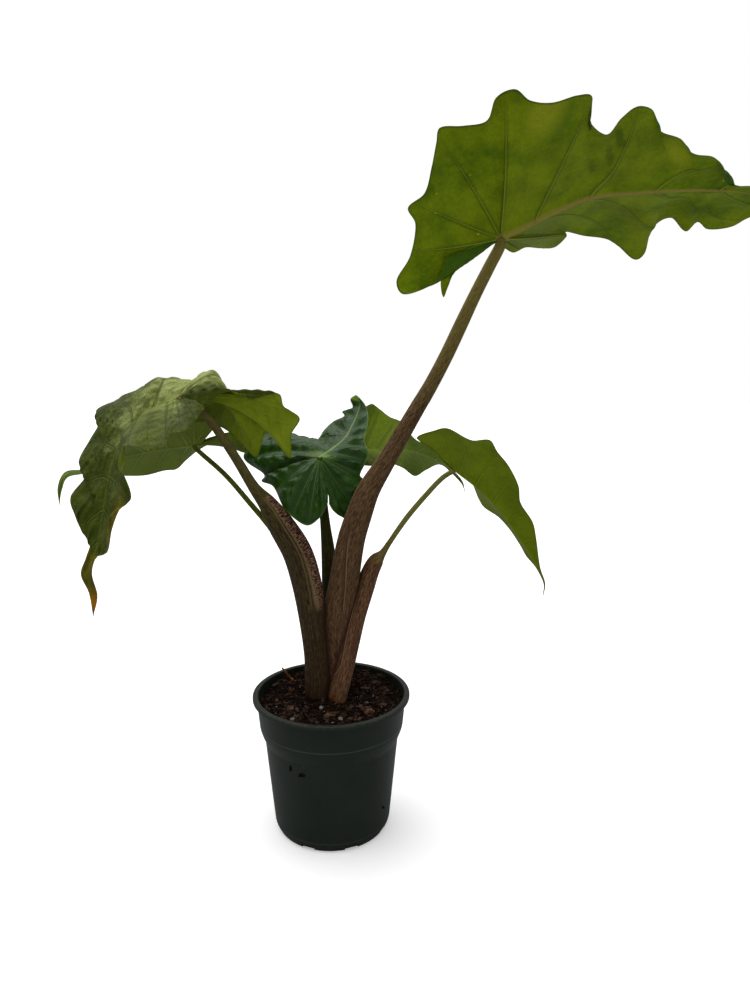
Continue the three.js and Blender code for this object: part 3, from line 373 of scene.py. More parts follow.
def half_blade(leaf, side, stations, columns):
    """One half as a grid of points: each rib is a quadratic Bezier line from the midrib (or the junction) to
    the margin, whose middle control point is the chord's middle moved by the rib's bow."""
    ribs = leaf[side]
    keys = [rib[0] for rib in ribs]
    ends = smooth(keys, [rib[1:4] for rib in ribs], stations)
    bows = smooth(keys, [(0, 0, 0, *rib[4:])[-3:] for rib in ribs], stations)
    roots = smooth(shares(leaf["midrib"]), leaf["midrib"], np.clip(stations, 0, 1))
    via = (roots + ends) / 2 + bows
    v = np.linspace(0, 1, columns + 1)[None, :, None]
    return roots[:, None] * (1 - v) ** 2 + 2 * v * (1 - v) * via[:, None] + ends[:, None] * v**2


def vein_lines(grid, stations, columns, veins):
    """Where each point of a half lies between its side veins: a running number that is whole on a vein and
    rises evenly from one vein to the next, and the two veins' distance there in millimetres, which is their
    gap in station times the half's own stretch, lessened by the veins' slant."""
    v = np.linspace(0, 1, columns + 1)
    table = np.array(veins)
    paths = table[:, :1] + (table[:, 1:] - table[:, :1]) * v
    per_station = np.linalg.norm(np.gradient(grid, stations, axis=0), axis=2)
    per_column = np.maximum(np.linalg.norm(np.gradient(grid, v, axis=1), axis=2), 1)
    number, spacing = np.empty(grid.shape[:2]), np.empty(grid.shape[:2])
    for k, path in enumerate(paths.T):
        below = np.clip(np.searchsorted(path, stations) - 1, 0, len(path) - 2)
        step = path[below + 1] - path[below]
        number[:, k] = below + (stations - path[below]) / step
        slope = (table[below, 1] - table[below, 0]) * per_station[:, k] / per_column[:, k]
        spacing[:, k] = step * per_station[:, k] / np.sqrt(1 + slope**2)
    return np.clip(number, -0.5, len(table) - 0.5), spacing


def blade(name):
    """A leaf blade: the two halves share the midrib's points, and the sheet is given two faces along its
    normals. The sheet bulges up between the side veins, with small cross ripples, and the veins and midrib
    stand out underneath as rounded ridges that thin out towards the margin."""
    leaf, form = LEAVES[name], BLADES[name]
    veins = VEINS.get(name, {"left": PLAIN_VEINS, "right": PLAIN_VEINS})
    columns = form["across"]
    along = np.linspace(0, 1, form["along"])
    stations = np.r_[along, np.linspace(1, 2, form["fan"])[1:]]
    junction = len(along) - 1
    points = [smooth(shares(leaf["midrib"]), leaf["midrib"], along)]
    fields = {key: [value] for key, value in (
        ("ridge", 0.4 + 0.9 * along), ("rise", np.zeros(len(along))), ("edge", np.where(along < 0.01, 0, 60)),
        ("across", np.zeros(len(along))), ("station", along),
    )}
    triangles, lines = [], []
    count = len(along)
    v = np.linspace(0, 1, columns + 1)[None, :]
    for side, turned in (("left", True), ("right", False)):
        grid = half_blade(leaf, side, stations, columns)
        number, spacing = vein_lines(grid, stations, columns, veins[side])
        distance = np.abs(number - np.round(number)) * spacing
        reach = np.linalg.norm(grid - grid[:, :1], axis=2)
        length = reach[:, -1:]
        to_midrib = np.where(stations[:, None] < 1, reach, 99)
        ridge = 0.45 * np.exp(-(distance / (2 - 0.9 * v)) ** 2) * (1 - 0.75 * v)
        share = np.clip(stations[:, None], 0, 1)
        rib = np.exp(-(to_midrib / (1 + form["rib"] * share)) ** 2) * (0.4 + 0.9 * share)
        near = np.minimum(distance, to_midrib)
        bulge = 1 - np.exp(-(near / 6) ** 2)
        bulge *= np.clip(reach / 14, 0, 1) * np.clip((length - reach) / 9, 0, 1)
        ripple = np.sin(2 * np.pi * (reach / 13 + 0.37 * np.round(number) + 0.12 * np.sin(stations[:, None] * 60)))
        index = np.zeros(grid.shape[:2], int)
        index[:, 0] = np.minimum(np.arange(len(stations)), junction)
        index[1:, 1:] = count + np.arange((len(stations) - 1) * columns).reshape(-1, columns)
        count += (len(stations) - 1) * columns
        points.append(grid[1:, 1:].reshape(-1, 3))
        for key, value in (
            ("ridge", np.maximum(ridge, rib)), ("rise", form["quilt"] * bulge + form["ripple"] * bulge * ripple),
            ("edge", np.minimum(length - reach, 60)), ("across", reach * (-1 if turned else 1)),
            ("station", stations[:, None] + 0 * reach),
        ):
            fields[key].append(value[1:, 1:].ravel())
        for made, values in ((triangles, index), (lines, np.stack([number, spacing, v + 0 * reach], -1))):
            a, b, c, d = values[:-1, :-1], values[1:, :-1], values[1:, 1:], values[:-1, 1:]
            halves = ((a, b, c), (a, c, d))
            both = np.concatenate([np.stack(half, 2).reshape(-1, 3, *values.shape[2:]) for half in halves])
            made.append(both[:, ::-1] if turned else both)
    points = np.concatenate(points)
    fields = {key: np.concatenate(value) for key, value in fields.items()}
    triangles, lines = np.concatenate(triangles), np.concatenate(lines)
    distinct = (triangles != np.roll(triangles, 1, axis=1)).all(axis=1)
    triangles, lines = triangles[distinct], lines[distinct]
    normals = vertex_normals(points, triangles)
    taper = np.clip(fields["edge"] / 3, 0.35, 1)
    sheet = points + normals * fields["rise"][:, None]
    upper = sheet + normals * (form["thick"] / 2 * taper)[:, None]
    below = form["thick"] / 2 * taper + form["ridge"] * fields["ridge"]
    lower = sheet - normals * below[:, None]
    total = len(points)
    pairs = np.concatenate([triangles[:, [0, 1]], triangles[:, [1, 2]], triangles[:, [2, 0]]])
    codes, back = pairs[:, 0] * total + pairs[:, 1], pairs[:, 1] * total + pairs[:, 0]
    rim = pairs[~np.isin(codes, back)]
    wall = np.concatenate([
        np.stack([rim[:, 0], rim[:, 0] + total, rim[:, 1] + total], -1),
        np.stack([rim[:, 0], rim[:, 1] + total, rim[:, 1]], -1),
    ])
    faces = np.concatenate([triangles, triangles[:, ::-1] + total, wall])
    kinds = np.r_[np.zeros(len(triangles)), np.ones(len(triangles)), np.zeros(len(wall))]
    bare = np.tile((0.5, 60.0, 1.0), (len(wall), 3, 1))
    looks = {
        "margin": np.tile(np.exp(-fields["edge"] / 1.2), 2),
        "place": np.tile(np.stack([fields["station"] * 100, fields["across"], fields["rise"]], -1), (2, 1)),
        "veins": np.concatenate([lines, lines[:, ::-1], bare]).reshape(-1, 3),
    }
    return np.concatenate([upper, lower]) + (0, 0, SOIL_LEVEL), faces, kinds, looks


# Petioles ---------------------------------------------------------------------------------------------

def petiole_line(name, rings):
    """A petiole's middle line and its sizes (half across, half along, groove) at even shares of its length."""
    leaf = LEAVES[name]
    rows = np.array(leaf["petiole"], float)
    centres = np.vstack([rows[:, :3], leaf["midrib"][-1]])
    sizes = np.vstack([rows[:, 3:], rows[-1, 3:] * 0.8])
    place = shares(centres)
    t = np.linspace(0, 1, rings)
    return smooth(place, centres, t), smooth(place, sizes, t)


def to_neighbours(points, name):
    """Distance from each point to the nearest other petiole's skin, less than nothing inside it: the distance
    to the nearest point of its middle line, less its mean radius there."""
    nearest = np.full(len(points), 30.0)
    for other in LEAVES:
        if other != name:
            centre, size = petiole_line(other, 160)
            reach = np.linalg.norm(points[:, None] - centre[None], axis=2)
            k = reach.argmin(axis=1)
            nearest = np.minimum(nearest, reach[np.arange(len(k)), k] - size[k, :2].mean(axis=1))
    return nearest


def petiole(name, rings, sides):
    """A petiole with its sheath: an oval carried along a smooth line to the blade's junction. On its open side
    the sheath dips by its groove, as a raised cosine over about fifty degrees to each side."""
    leaf = LEAVES[name]
    centre, size = petiole_line(name, rings)
    tangent = unit(np.gradient(centre, axis=0))
    out = np.array(leaf["open"], float)
    out = unit(out - (tangent @ out)[:, None] * tangent)
    side = np.cross(tangent, out)
    angle = np.linspace(0, 2 * np.pi, sides, endpoint=False)[None, :]
    turn = (angle + np.pi) % (2 * np.pi) - np.pi
    dip = np.where(np.abs(turn) < 0.85, (1 + np.cos(np.pi * turn / 0.85)) / 2, 0)
    radial = size[:, 1:2] * np.cos(angle) - size[:, 2:3] * dip
    sideways = size[:, 0:1] * np.sin(angle)
    grid = centre[:, None] + radial[..., None] * out[:, None] + sideways[..., None] * side[:, None]
    length = np.r_[0, np.cumsum(np.linalg.norm(np.diff(centre, axis=0), axis=1))]
    depth = np.clip(size[:, 2:3] / 6, 0, 1)
    looks = {
        "flow": np.stack(np.broadcast_arrays(
            turn * size[:, 0:1], length[:, None], turn), -1).reshape(-1, 3),
        "height": np.broadcast_to((centre[:, 2:3]) / 300, grid.shape[:2]).ravel(),
        "groove": (dip * np.clip((depth - 0.75) / 0.25, 0, 1)).ravel(),
        "lip": (np.abs(np.abs(turn) - 0.9) * size[:, 0:1] + 3 * np.clip(0.9 - depth, 0, 1)).ravel(),
        # distance to the other petioles, where the stem skin gets painted shade
        "next": to_neighbours(grid.reshape(-1, 3), name),
    }
    return grid.reshape(-1, 3) + (0, 0, SOIL_LEVEL), tube_faces(rings, sides), looks


def tube_faces(rings, sides):
    """Quads between neighbouring rings, and one flat face at each end."""
    ends = np.stack([np.arange(sides)[::-1], (rings - 1) * sides + np.arange(sides)])
    return [grid_faces(rings, sides), ends]


# Pot and soil -----------------------------------------------------------------------------------------

LIP_HEIGHT, LIP_WIDTH = 4.0, 4.1
BAND_HEIGHT, BAND_TAPER = 28.5, 2.6
SHOULDER_HEIGHT, SHOULDER_STEP = 14, 5
FOOT_RADIUS, FOOT_FLARE, FOOT_BEVEL = 55.5, 3.8, 7
SLOT_COUNT = 8
WALL = 1.4
SOIL_GAP = 0.3
ROOT_RADIUS = 1.3

BAND_RADIUS = RIM_RADIUS - LIP_WIDTH
BAND_TOP = POT_HEIGHT - LIP_HEIGHT
BAND_BOTTOM = BAND_TOP - BAND_HEIGHT
SHOULDER_RADIUS = BAND_RADIUS - BAND_TAPER
BODY_RADIUS = SHOULDER_RADIUS - SHOULDER_STEP
BODY_TOP = BAND_BOTTOM - SHOULDER_HEIGHT
SOIL_RADIUS = BAND_RADIUS - BAND_TAPER * (BAND_TOP - SOIL_LEVEL) / BAND_HEIGHT - WALL - SOIL_GAP


def rounded(profile, radii, steps):
    """A profile whose corners are replaced by arcs: each is a quadratic Bezier bend that starts and ends the
    given length from its corner."""
    profile = np.asarray(profile, float)
    line = [profile[:1]]
    t = np.linspace(0, 1, steps + 1)[:, None]
    for before, corner, after, radius in zip(profile[:-2], profile[1:-1], profile[2:], radii[1:-1]):
        reach = min(radius, np.linalg.norm(before - corner) * 0.49, np.linalg.norm(after - corner) * 0.49)
        start = corner + unit(before - corner) * reach
        end = corner + unit(after - corner) * reach
        line.append(start * (1 - t) ** 2 + 2 * t * (1 - t) * corner + end * t**2)
    line.append(profile[-1:])
    return np.concatenate(line)


def revolve(profile, sides):
    """A profile [radius, height] that starts and ends on the axis, turned round it, with closed poles."""
    angle = np.linspace(0, 2 * np.pi, sides, endpoint=False)
    ring = profile[1:-1]
    x = ring[:, :1] * np.cos(angle)
    y = ring[:, :1] * np.sin(angle)
    z = np.repeat(ring[:, 1:], sides, axis=1)
    points = np.concatenate([
        [[0, 0, profile[0, 1]]], np.stack([x, y, z], -1).reshape(-1, 3), [[0, 0, profile[-1, 1]]],
    ])
    return points, poled_faces(len(ring), sides)


def bumps(x, y, spread, size, count, seed):
    """A heap of round bumps and hollows: the sum of bell curves at random places with random heights."""
    random = np.random.default_rng(seed)
    radius = spread * np.sqrt(random.random(count))
    angle = 2 * np.pi * random.random(count)
    height = random.normal(0, 1, count)
    total = np.zeros_like(x)
    for r, a, h in zip(radius, angle, height):
        total += h * np.exp(-((x - r * np.cos(a)) ** 2 + (y - r * np.sin(a)) ** 2) / size**2)
    return total


def soil_height(x, y):
    """Height of the soil above its level: broad unevenness with crumbs on it, heaped up towards the back."""
    rough = 0.6 * bumps(x, y, 70, 9, 120, 1) + 0.55 * bumps(x, y, 72, 3, 900, 2)
    return np.clip(rough, -1.8, 2.6) + 7.2 * np.clip((y - 10) / 50, 0, 1) ** 1.4


# Materials --------------------------------------------------------------------------------------------

class Value:
    """An output of a node. Arithmetic on it adds the nodes that work it out."""

    def __init__(self, socket):
        self.socket, self.tree = socket, socket.id_data

    def __add__(self, other):
        return maths("ADD", self, other)

    def __sub__(self, other):
        return maths("SUBTRACT", self, other)

    def __rsub__(self, other):
        return maths("SUBTRACT", other, self)

    def __mul__(self, other):
        return maths("MULTIPLY", self, other)

    def __truediv__(self, other):
        return maths("DIVIDE", self, other)

    def __rtruediv__(self, other):
        return maths("DIVIDE", other, self)

    def __abs__(self):
        return maths("ABSOLUTE", self)


def feed(socket, value):
    """Links a value to an input, or sets the input to a plain number, colour or vector."""
    if isinstance(value, Value):
        value.tree.links.new(value.socket, socket)
    else:
        socket.default_value = value


def put(tree, kind, **settings):
    """Adds a node and returns its outputs as values. A keyword that names a property sets it; one that names an
    input, by name or as i0, i1, feeds it."""
    node = tree.nodes.new(kind)
    for key, value in settings.items():
        if key in node.bl_rna.properties:
            setattr(node, key, value)
        else:
            place = int(key[1:]) if key[0] == "i" and key[1:].isdigit() else key.replace("_", " ")
            feed(node.inputs[place], value)
    return [Value(output) for output in node.outputs]


def tree_of(values):
    """The node tree that the first of these that is a value belongs to."""
    return next(value.tree for value in values if isinstance(value, Value))


def maths(operation, a, b=0.0):
    """One arithmetic step."""
    return put(tree_of((a, b)), "ShaderNodeMath", operation=operation, i0=a, i1=b)[0]


def vectors(operation, a, **others):
    """One step of arithmetic on vectors: its vector and its number."""
    return put(a.tree, "ShaderNodeVectorMath", operation=operation, i0=a, **others)


def span(value, low, high, to_low=0.0, to_high=1.0):
    """A value brought from one range into another, and held inside it."""
    return put(tree_of((value,)), "ShaderNodeMapRange", i0=value, i1=low, i2=high, i3=to_low, i4=to_high)[0]


def blend(factor, a, b):
    """Colour a where the factor is 0 and b where it is 1."""
    return put(factor.tree, "ShaderNodeMix", data_type="RGBA", i0=factor, i6=a, i7=b)[2]


def parts(value):
    """The three parts of a vector."""
    return put(value.tree, "ShaderNodeSeparateXYZ", i0=value)


def attribute(tree, name):
    """An attribute of the piece's own mesh: its vector and its number."""
    return put(tree, "ShaderNodeAttribute", attribute_name=name)[1:3]


def noise(place, scale, detail, **others):
    """Fractal noise: its number and its colour."""
    return put(place.tree, "ShaderNodeTexNoise", Vector=place, Scale=scale, Detail=detail, **others)


def use(group, **inputs):
    """Places a node group: its one output, or a list of its outputs."""
    outputs = put(tree_of(inputs.values()), "ShaderNodeGroup", node_tree=group, **inputs)
    return outputs[0] if len(outputs) == 1 else outputs


def colours(codes):
    """Linear colours from screen values written in six hexadecimal digits each."""
    screen = [[int(code[k:k + 2], 16) / 255 for k in (0, 2, 4)] for code in codes.split()]
    return [
        tuple(p / 12.92 if p <= 0.04045 else ((p + 0.055) / 1.055) ** 2.4 for p in code) + (1,) for code in screen
    ]


def colour(code):
    """One linear colour."""
    return colours(code)[0]


def group(name, outputs, **inputs):
    """A node group: its tree, its inputs as values and its outputs to feed. An input is a number with the
    default given, or a vector where that is None."""
    tree = bpy.data.node_groups.new(name, "ShaderNodeTree")
    for label, value in inputs.items():
        kind = "NodeSocketVector" if value is None else "NodeSocketFloat"
        socket = tree.interface.new_socket(label, in_out="INPUT", socket_type=kind)
        if value is not None:
            socket.default_value = value
    for label in outputs:
        tree.interface.new_socket(label, in_out="OUTPUT", socket_type="NodeSocketFloat")
    entry = {socket.name: Value(socket) for socket in tree.nodes.new("NodeGroupInput").outputs}
    return tree, entry, tree.nodes.new("NodeGroupOutput").inputs


def clouds_group():
    """Soft patches: fractal noise pulled apart around its middle."""
    tree, i, o = group("soft_patches", ["Mask"], Place=None, Size=0.03, Detail=3.0, Contrast=0.15)
    fog = noise(i["Place"], 1.0 / i["Size"], i["Detail"])[0]
    feed(o["Mask"], span(fog, 0.5 - i["Contrast"], i["Contrast"] + 0.5))
    return tree


def net_group():
    """Net of small veins: lines where the cells of two cell patterns meet, the finer ones weaker."""
    tree, i, o = group("vein_net", ["Mask"], Place=None, Cell=0.006, Line=0.06)
    bent = vectors("SCALE", noise(i["Place"], 60.0, 2.0)[1], Scale=0.006)[0]
    place = vectors("ADD", i["Place"], i1=bent)[0]
    coarse, fine = (
        span(put(tree, "ShaderNodeTexVoronoi", feature="DISTANCE_TO_EDGE", Vector=place,
                 Scale=share / i["Cell"])[0], 0.0, i["Line"], 1.0, 0.0) for share in (1.0, 2.6)
    )
    feed(o["Mask"], maths("MAXIMUM", coarse, fine * 0.45))
    return tree


def streaks_group():
    """Streaks that follow a stem: noise on the distance round and the distance along it in millimetres, drawn
    out along it."""
    tree, i, o = group("stem_streaks", ["Mask"], Flow=None, Width=1.0, Length=12.0, Low=0.45, High=0.6)
    around, along, _ = parts(i["Flow"])
    place = put(tree, "ShaderNodeCombineXYZ", i0=around / i["Width"], i1=along / i["Length"])[0]
    feed(o["Mask"], span(noise(place, 1.0, 4.0, Roughness=0.6)[0], i["Low"], i["High"]))
    return tree


def specks_group():
    """Scattered specks: small cells, of which only some hold a round speck."""
    tree, i, o = group("specks", ["Mask"], Place=None, Cell=0.01, Radius=0.12, Share=0.1)
    distance, tint = put(tree, "ShaderNodeTexVoronoi", Vector=i["Place"], Scale=1.0 / i["Cell"])[:2]
    chance, growth, _ = put(tree, "ShaderNodeSeparateColor", i0=tint)
    size = i["Radius"] * span(growth, 0.0, 1.0, 0.4, 1.0)
    feed(o["Mask"], span(distance, size * 0.6, size, 1.0, 0.0) * maths("LESS_THAN", chance, i["Share"]))
    return tree


def side_veins_group():
    """Marks of the side veins from their running number and spacing: the vein's own line, which narrows
    towards the margin, and the dip on either side of it, which the leaves also darken as painted shade."""
    tree, i, o = group("side_veins", ["Line", "Furrow"], Veins=None, Width=1.5)
    number, spacing, out = parts(i["Veins"])
    distance = abs(maths("FRACT", number + 0.5) - 0.5) * spacing
    ratio = distance / (i["Width"] * span(out, 0.0, 1.0, 1.0, 0.35))
    fade = span(out, 0.7, 1.0, 1.0, 0.15)
    feed(o["Line"], span(ratio, 0.35, 1.0, 1.0, 0.0) * fade)
    feed(o["Furrow"], span(ratio, 0.7, 1.3) * span(ratio, 1.5, 4.0, 1.0, 0.0) * fade)
    return tree


def blotch_group():
    """One soft blotch on a blade: the distance from its middle, in station and millimetres across and counted
    in its own radii, pushed about by noise."""
    tree, i, o = group("blotch", ["Mask"], Place=None, Noise=0.5, Middle=None, Radii=None)
    away = vectors("SUBTRACT", i["Place"], i1=i["Middle"])[0]
    length = vectors("LENGTH", vectors("DIVIDE", away, i1=i["Radii"])[0])[1]
    feed(o["Mask"], span(length + (i["Noise"] - 0.5) * 0.7, 0.5, 1.2, 1.0, 0.0))
    return tree


CLOUDS, NET, STREAKS, SPECKS = clouds_group(), net_group(), streaks_group(), specks_group()
SIDE_VEINS, BLOTCH = side_veins_group(), blotch_group()


def new_material(name, **constants):
    """A new material, its shader's inputs, with constants on them, and its Object coordinates."""
    material = bpy.data.materials.new(name)
    material.use_nodes = True
    shader = material.node_tree.nodes["Principled BSDF"].inputs
    for key, value in constants.items():
        shader[key.replace("_", " ")].default_value = value
    return material, shader, put(material.node_tree, "ShaderNodeTexCoord")[3]


def finish(shader, base, rough, height, strength, distance):
    """Feeds a shader its colour, its roughness and a bump from a height, in metres of distance."""
    bump = put(base.tree, "ShaderNodeBump", Height=height, Strength=strength, Distance=distance)[0]
    for key, value in (("Base Color", base), ("Roughness", rough), ("Normal", bump)):
        feed(shader[key], value)


def leaf_material(name, tints, midrib=None, rib=1.4, furrow=None, dimple=0.0, side=1.0, net=0.1, rough=0.5,
                  patch=0.035, yellow=None, blotches=(), spots=None, tip=None, relief=0.5, width=1.5, **constants):
    """Leaf skin: two greens in soft patches, side veins with painted shade in the dip on either side, a midrib,
    a net of small veins and a fine rim, and where they show, yellowing, blotches (station, across, radii, colour,
    strength), a few of them painted sheen and painted backlight, painted shade in the dimpling's hollows, brown
    specks and a withered tip. side is 1 where veins stand out, and -1 where they are sunken."""
    material, shader, place = new_material(name, **constants)
    deep, light, vein, rim = colours(tints)
    patches = use(CLOUDS, Place=place, Size=patch, Detail=4.0, Contrast=0.14)
    fine = use(CLOUDS, Place=place, Size=patch / 7, Detail=3.0, Contrast=0.3)
    tone = patches * 0.62 + fine * 0.38
    base = blend(tone, deep, light)
    where, _ = attribute(place.tree, "place")
    station, across, _ = parts(where)
    if yellow:
        worn = use(CLOUDS, Place=place, Size=0.07, Detail=3.0, Contrast=0.07)
        base = blend(worn * yellow[1], base, colour(yellow[0]))
    for at, over, along, out, tint, strength in blotches:
        mask = use(BLOTCH, Place=where, Noise=tone, Middle=(at, over, 0), Radii=(along, out, 1000))
        base = blend(mask * strength, base, colour(tint))
    small_veins = use(NET, Place=place, Cell=0.006)
    base = blend(small_veins * net, base, vein)
    height = small_veins * (0.6 * side) + fine
    if dimple:
        hollows = use(CLOUDS, Place=place, Size=0.012, Detail=2.0, Contrast=0.12)
        # painted shade: the hollows of the dimpling are darkened towards the deep green
        base = blend(span(hollows, 0.6, 0.0, 0.0, 0.2 * dimple), base, deep)
        height = height + hollows * dimple
    line, beside = use(SIDE_VEINS, Veins=attribute(place.tree, "veins")[0], Width=width)
    # painted shade in the dip on either side of each side vein
    base = blend(beside * 0.5, base, colour(furrow) if furrow else deep)
    base = blend(line * 0.7, base, vein)
    ridge = span(abs(across) / span(station, 0.0, 100.0, 0.4, rib), 0.5, 1.15, 1.0, 0.0)
    base = blend(ridge * 0.9, base, colour(midrib) if midrib else vein)
    base = blend(span(attribute(place.tree, "margin")[1], 0.2, 0.8, 0.0, 0.7), base, rim)
    if spots:
        marks = use(SPECKS, Place=place, Cell=0.014, Radius=0.13, Share=spots[1])
        base = blend(marks, base, colour(spots[0]))
    if tip:
        withered, dead = colours(tip)
        edge = station - fine * 3.5
        base = blend(span(edge, 9.5, 4.0), base, withered)
        base = blend(span(edge, 2.0, 0.0), base, dead)
    height = height + (line - beside * 0.5) * (1.6 * side)
    finish(shader, base, fine * 0.12 + (rough - 0.06), height, relief, 0.0005)
    return material


def stem_material(name, tints, heights=(0.0, 1.0), lining=None, lip=None, streak=0.75, seam=None, crown=None):
    """Stem skin: a ground colour that changes with height, olive streaks, dark dashes and fine specks along the
    fibres, and painted shade where it lies close to its neighbours. The sheath's open side is pale with dark
    strokes across it, closer together towards its far lip, and its lips are light lines. seam (turn, slope, knee,
    from, to) is the sheath's edge, a light line with a painted shadow beside it: at that turn round the stem,
    sloping away below the knee's length. crown (colour, from, to) is the colour of the stem's top and the heights
    between which it comes in."""
    material, shader, place = new_material(name, Specular_IOR_Level=0.1)
    low, high, olive, dark = colours(tints)
    flow, _ = attribute(place.tree, "flow")
    around, along, turn = parts(flow)
    height = attribute(place.tree, "height")[1]
    pale, mottle, dashes, bands, ribs = (
        use(STREAKS, Flow=flow, Width=across, Length=length, Low=start, High=end)
        for across, length, start, end in (
            (2.2, 26.0, 0.42, 0.62), (0.9, 3.0, 0.47, 0.55), (0.7, 7.0, 0.48, 0.54), (1.5, 45.0, 0.5, 0.62),
            (1.6, 60.0, 0.3, 0.7),
        )
    )
    skin = blend(span(height, *heights), low, high)
    if crown:
        skin = blend(span(height, *crown[1:]), skin, colour(crown[0]))
    for mask, strength, tint in (
        (pale, streak, olive), (mottle, 0.5, olive), (bands, 0.6, dark), (dashes, 0.85, dark),
    ):
        skin = blend(mask * strength, skin, tint)
    if crown:
        skin = blend(span(height, *crown[1:], 0.0, 0.6), skin, colour(crown[0]))
    if lining:
        inner, dash = colours(lining)
        few = span(around, -10.0, 4.0, 0.63, 0.43)
        strokes = use(STREAKS, Flow=flow, Width=3.2, Length=0.9, Low=few, High=few + 0.05)
        groove = attribute(place.tree, "groove")[1]
        skin = blend(span(groove, 0.02, 0.3), skin, blend(strokes, inner, dash))
    if lip:
        skin = blend(span(attribute(place.tree, "lip")[1], 0.25, 0.6, 0.8, 0.0), skin, colour(lip))
    # painted shade where the stem lies close against another petiole
    skin = blend(span(attribute(place.tree, "next")[1], 0.0, 4.5, 0.8, 0.0), skin, dark)
    if seam:
        at, slope, knee, start, end = seam
        off = turn + maths("MAXIMUM", knee - along) * slope - at
        held = span(along, start, start + 6) * span(along, end, end - 8)
        # painted shadow along one side of the sheath's edge, beside its light lip line
        shade = span(off, -0.35, -0.04) * span(off, 0.0, -0.03)
        skin = blend(shade * held * 0.7, skin, dark)
        skin = blend(span(abs(off), 0.015, 0.045, 0.45, 0.0) * held, skin, colour(lip))
    finish(shader, skin, mottle * 0.12 + 0.6, ribs + mottle * 0.3, 0.5, 0.0006)
    return material


def pot_material():
    """Moulded pot plastic: dark green, a little uneven, with a pale line under its band, which is a painted
    highlight along that edge, and a pale line round its foot, dusty patches near the rim and the foot, pale scuffs
    and fine scratches."""
    material, shader, place = new_material("pot_plastic_green", Specular_IOR_Level=0.15)
    dark, light, line, dusty, scratched, scuffed = colours("161e19 1f2822 4a554c 3c3b30 5a625a 6d7068")
    patches = use(CLOUDS, Place=place, Size=0.05, Detail=4.0, Contrast=0.25)
    base = blend(patches, dark, light)
    height = parts(place)[2]
    # pale lines round the pot: the one under the band is a painted highlight along its edge
    for level, strength in ((0.0098, 0.3), (0.1125, 0.4)):
        base = blend(span(abs(height - level), 0.0002, 0.001, strength, 0.0), base, line)
    grain = use(CLOUDS, Place=place, Size=0.004, Detail=5.0, Contrast=0.12)
    near_ends = (span(height, 0.1385, 0.1425, 0.0, 1.6), span(height, 0.02, 0.0))
    dust = maths("MAXIMUM", *(end * grain for end in near_ends))
    base = blend(dust * 0.3, base, dusty)
    stretched = put(place.tree, "ShaderNodeMapping", i0=place, Scale=(260, 260, 2200), Rotation=(0.9, 0.5, 0.0))[0]
    where = use(CLOUDS, Place=place, Size=0.03, Detail=2.0, Contrast=0.05)
    base = blend(span(noise(stretched, 1.0, 2.0)[0], 0.7, 0.75) * where * 0.3, base, scratched)
    base = blend(use(SPECKS, Place=place, Cell=0.012, Radius=0.045, Share=0.12) * 0.6, base, scuffed)
    finish(shader, base, (patches + dust) * 0.12 + 0.4, noise(place, 420.0, 3.0)[0] + patches, 0.12, 0.0004)
    return material


def rough_material(name, tints, pale_share, size, depth, rough=0.85, tone=False):
    """Rough natural stuff such as soil, bark or grains: dark, middle and pale in fine patches, with a deep
    bump. Where tone is true, an attribute of the piece makes some of it paler."""
    material, shader, place = new_material(name, Specular_IOR_Level=0.03)
    dark, middle, pale = colours(tints)
    patches = use(CLOUDS, Place=place, Size=size * 4, Detail=5.0, Contrast=0.2)
    fine = use(CLOUDS, Place=place, Size=size, Detail=5.0, Contrast=0.18)
    bits = use(CLOUDS, Place=place, Size=size * 1.7, Detail=3.0, Contrast=0.03)
    base = blend(bits * pale_share, blend(patches * fine, dark, middle), pale)
    if tone:
        base = blend(attribute(place.tree, "tone")[1] * 0.8, base, pale)
    finish(shader, base, rough - fine * 0.2, fine + patches * 2.0, 0.8, depth)
    return material


# The pieces -------------------------------------------------------------------------------------------

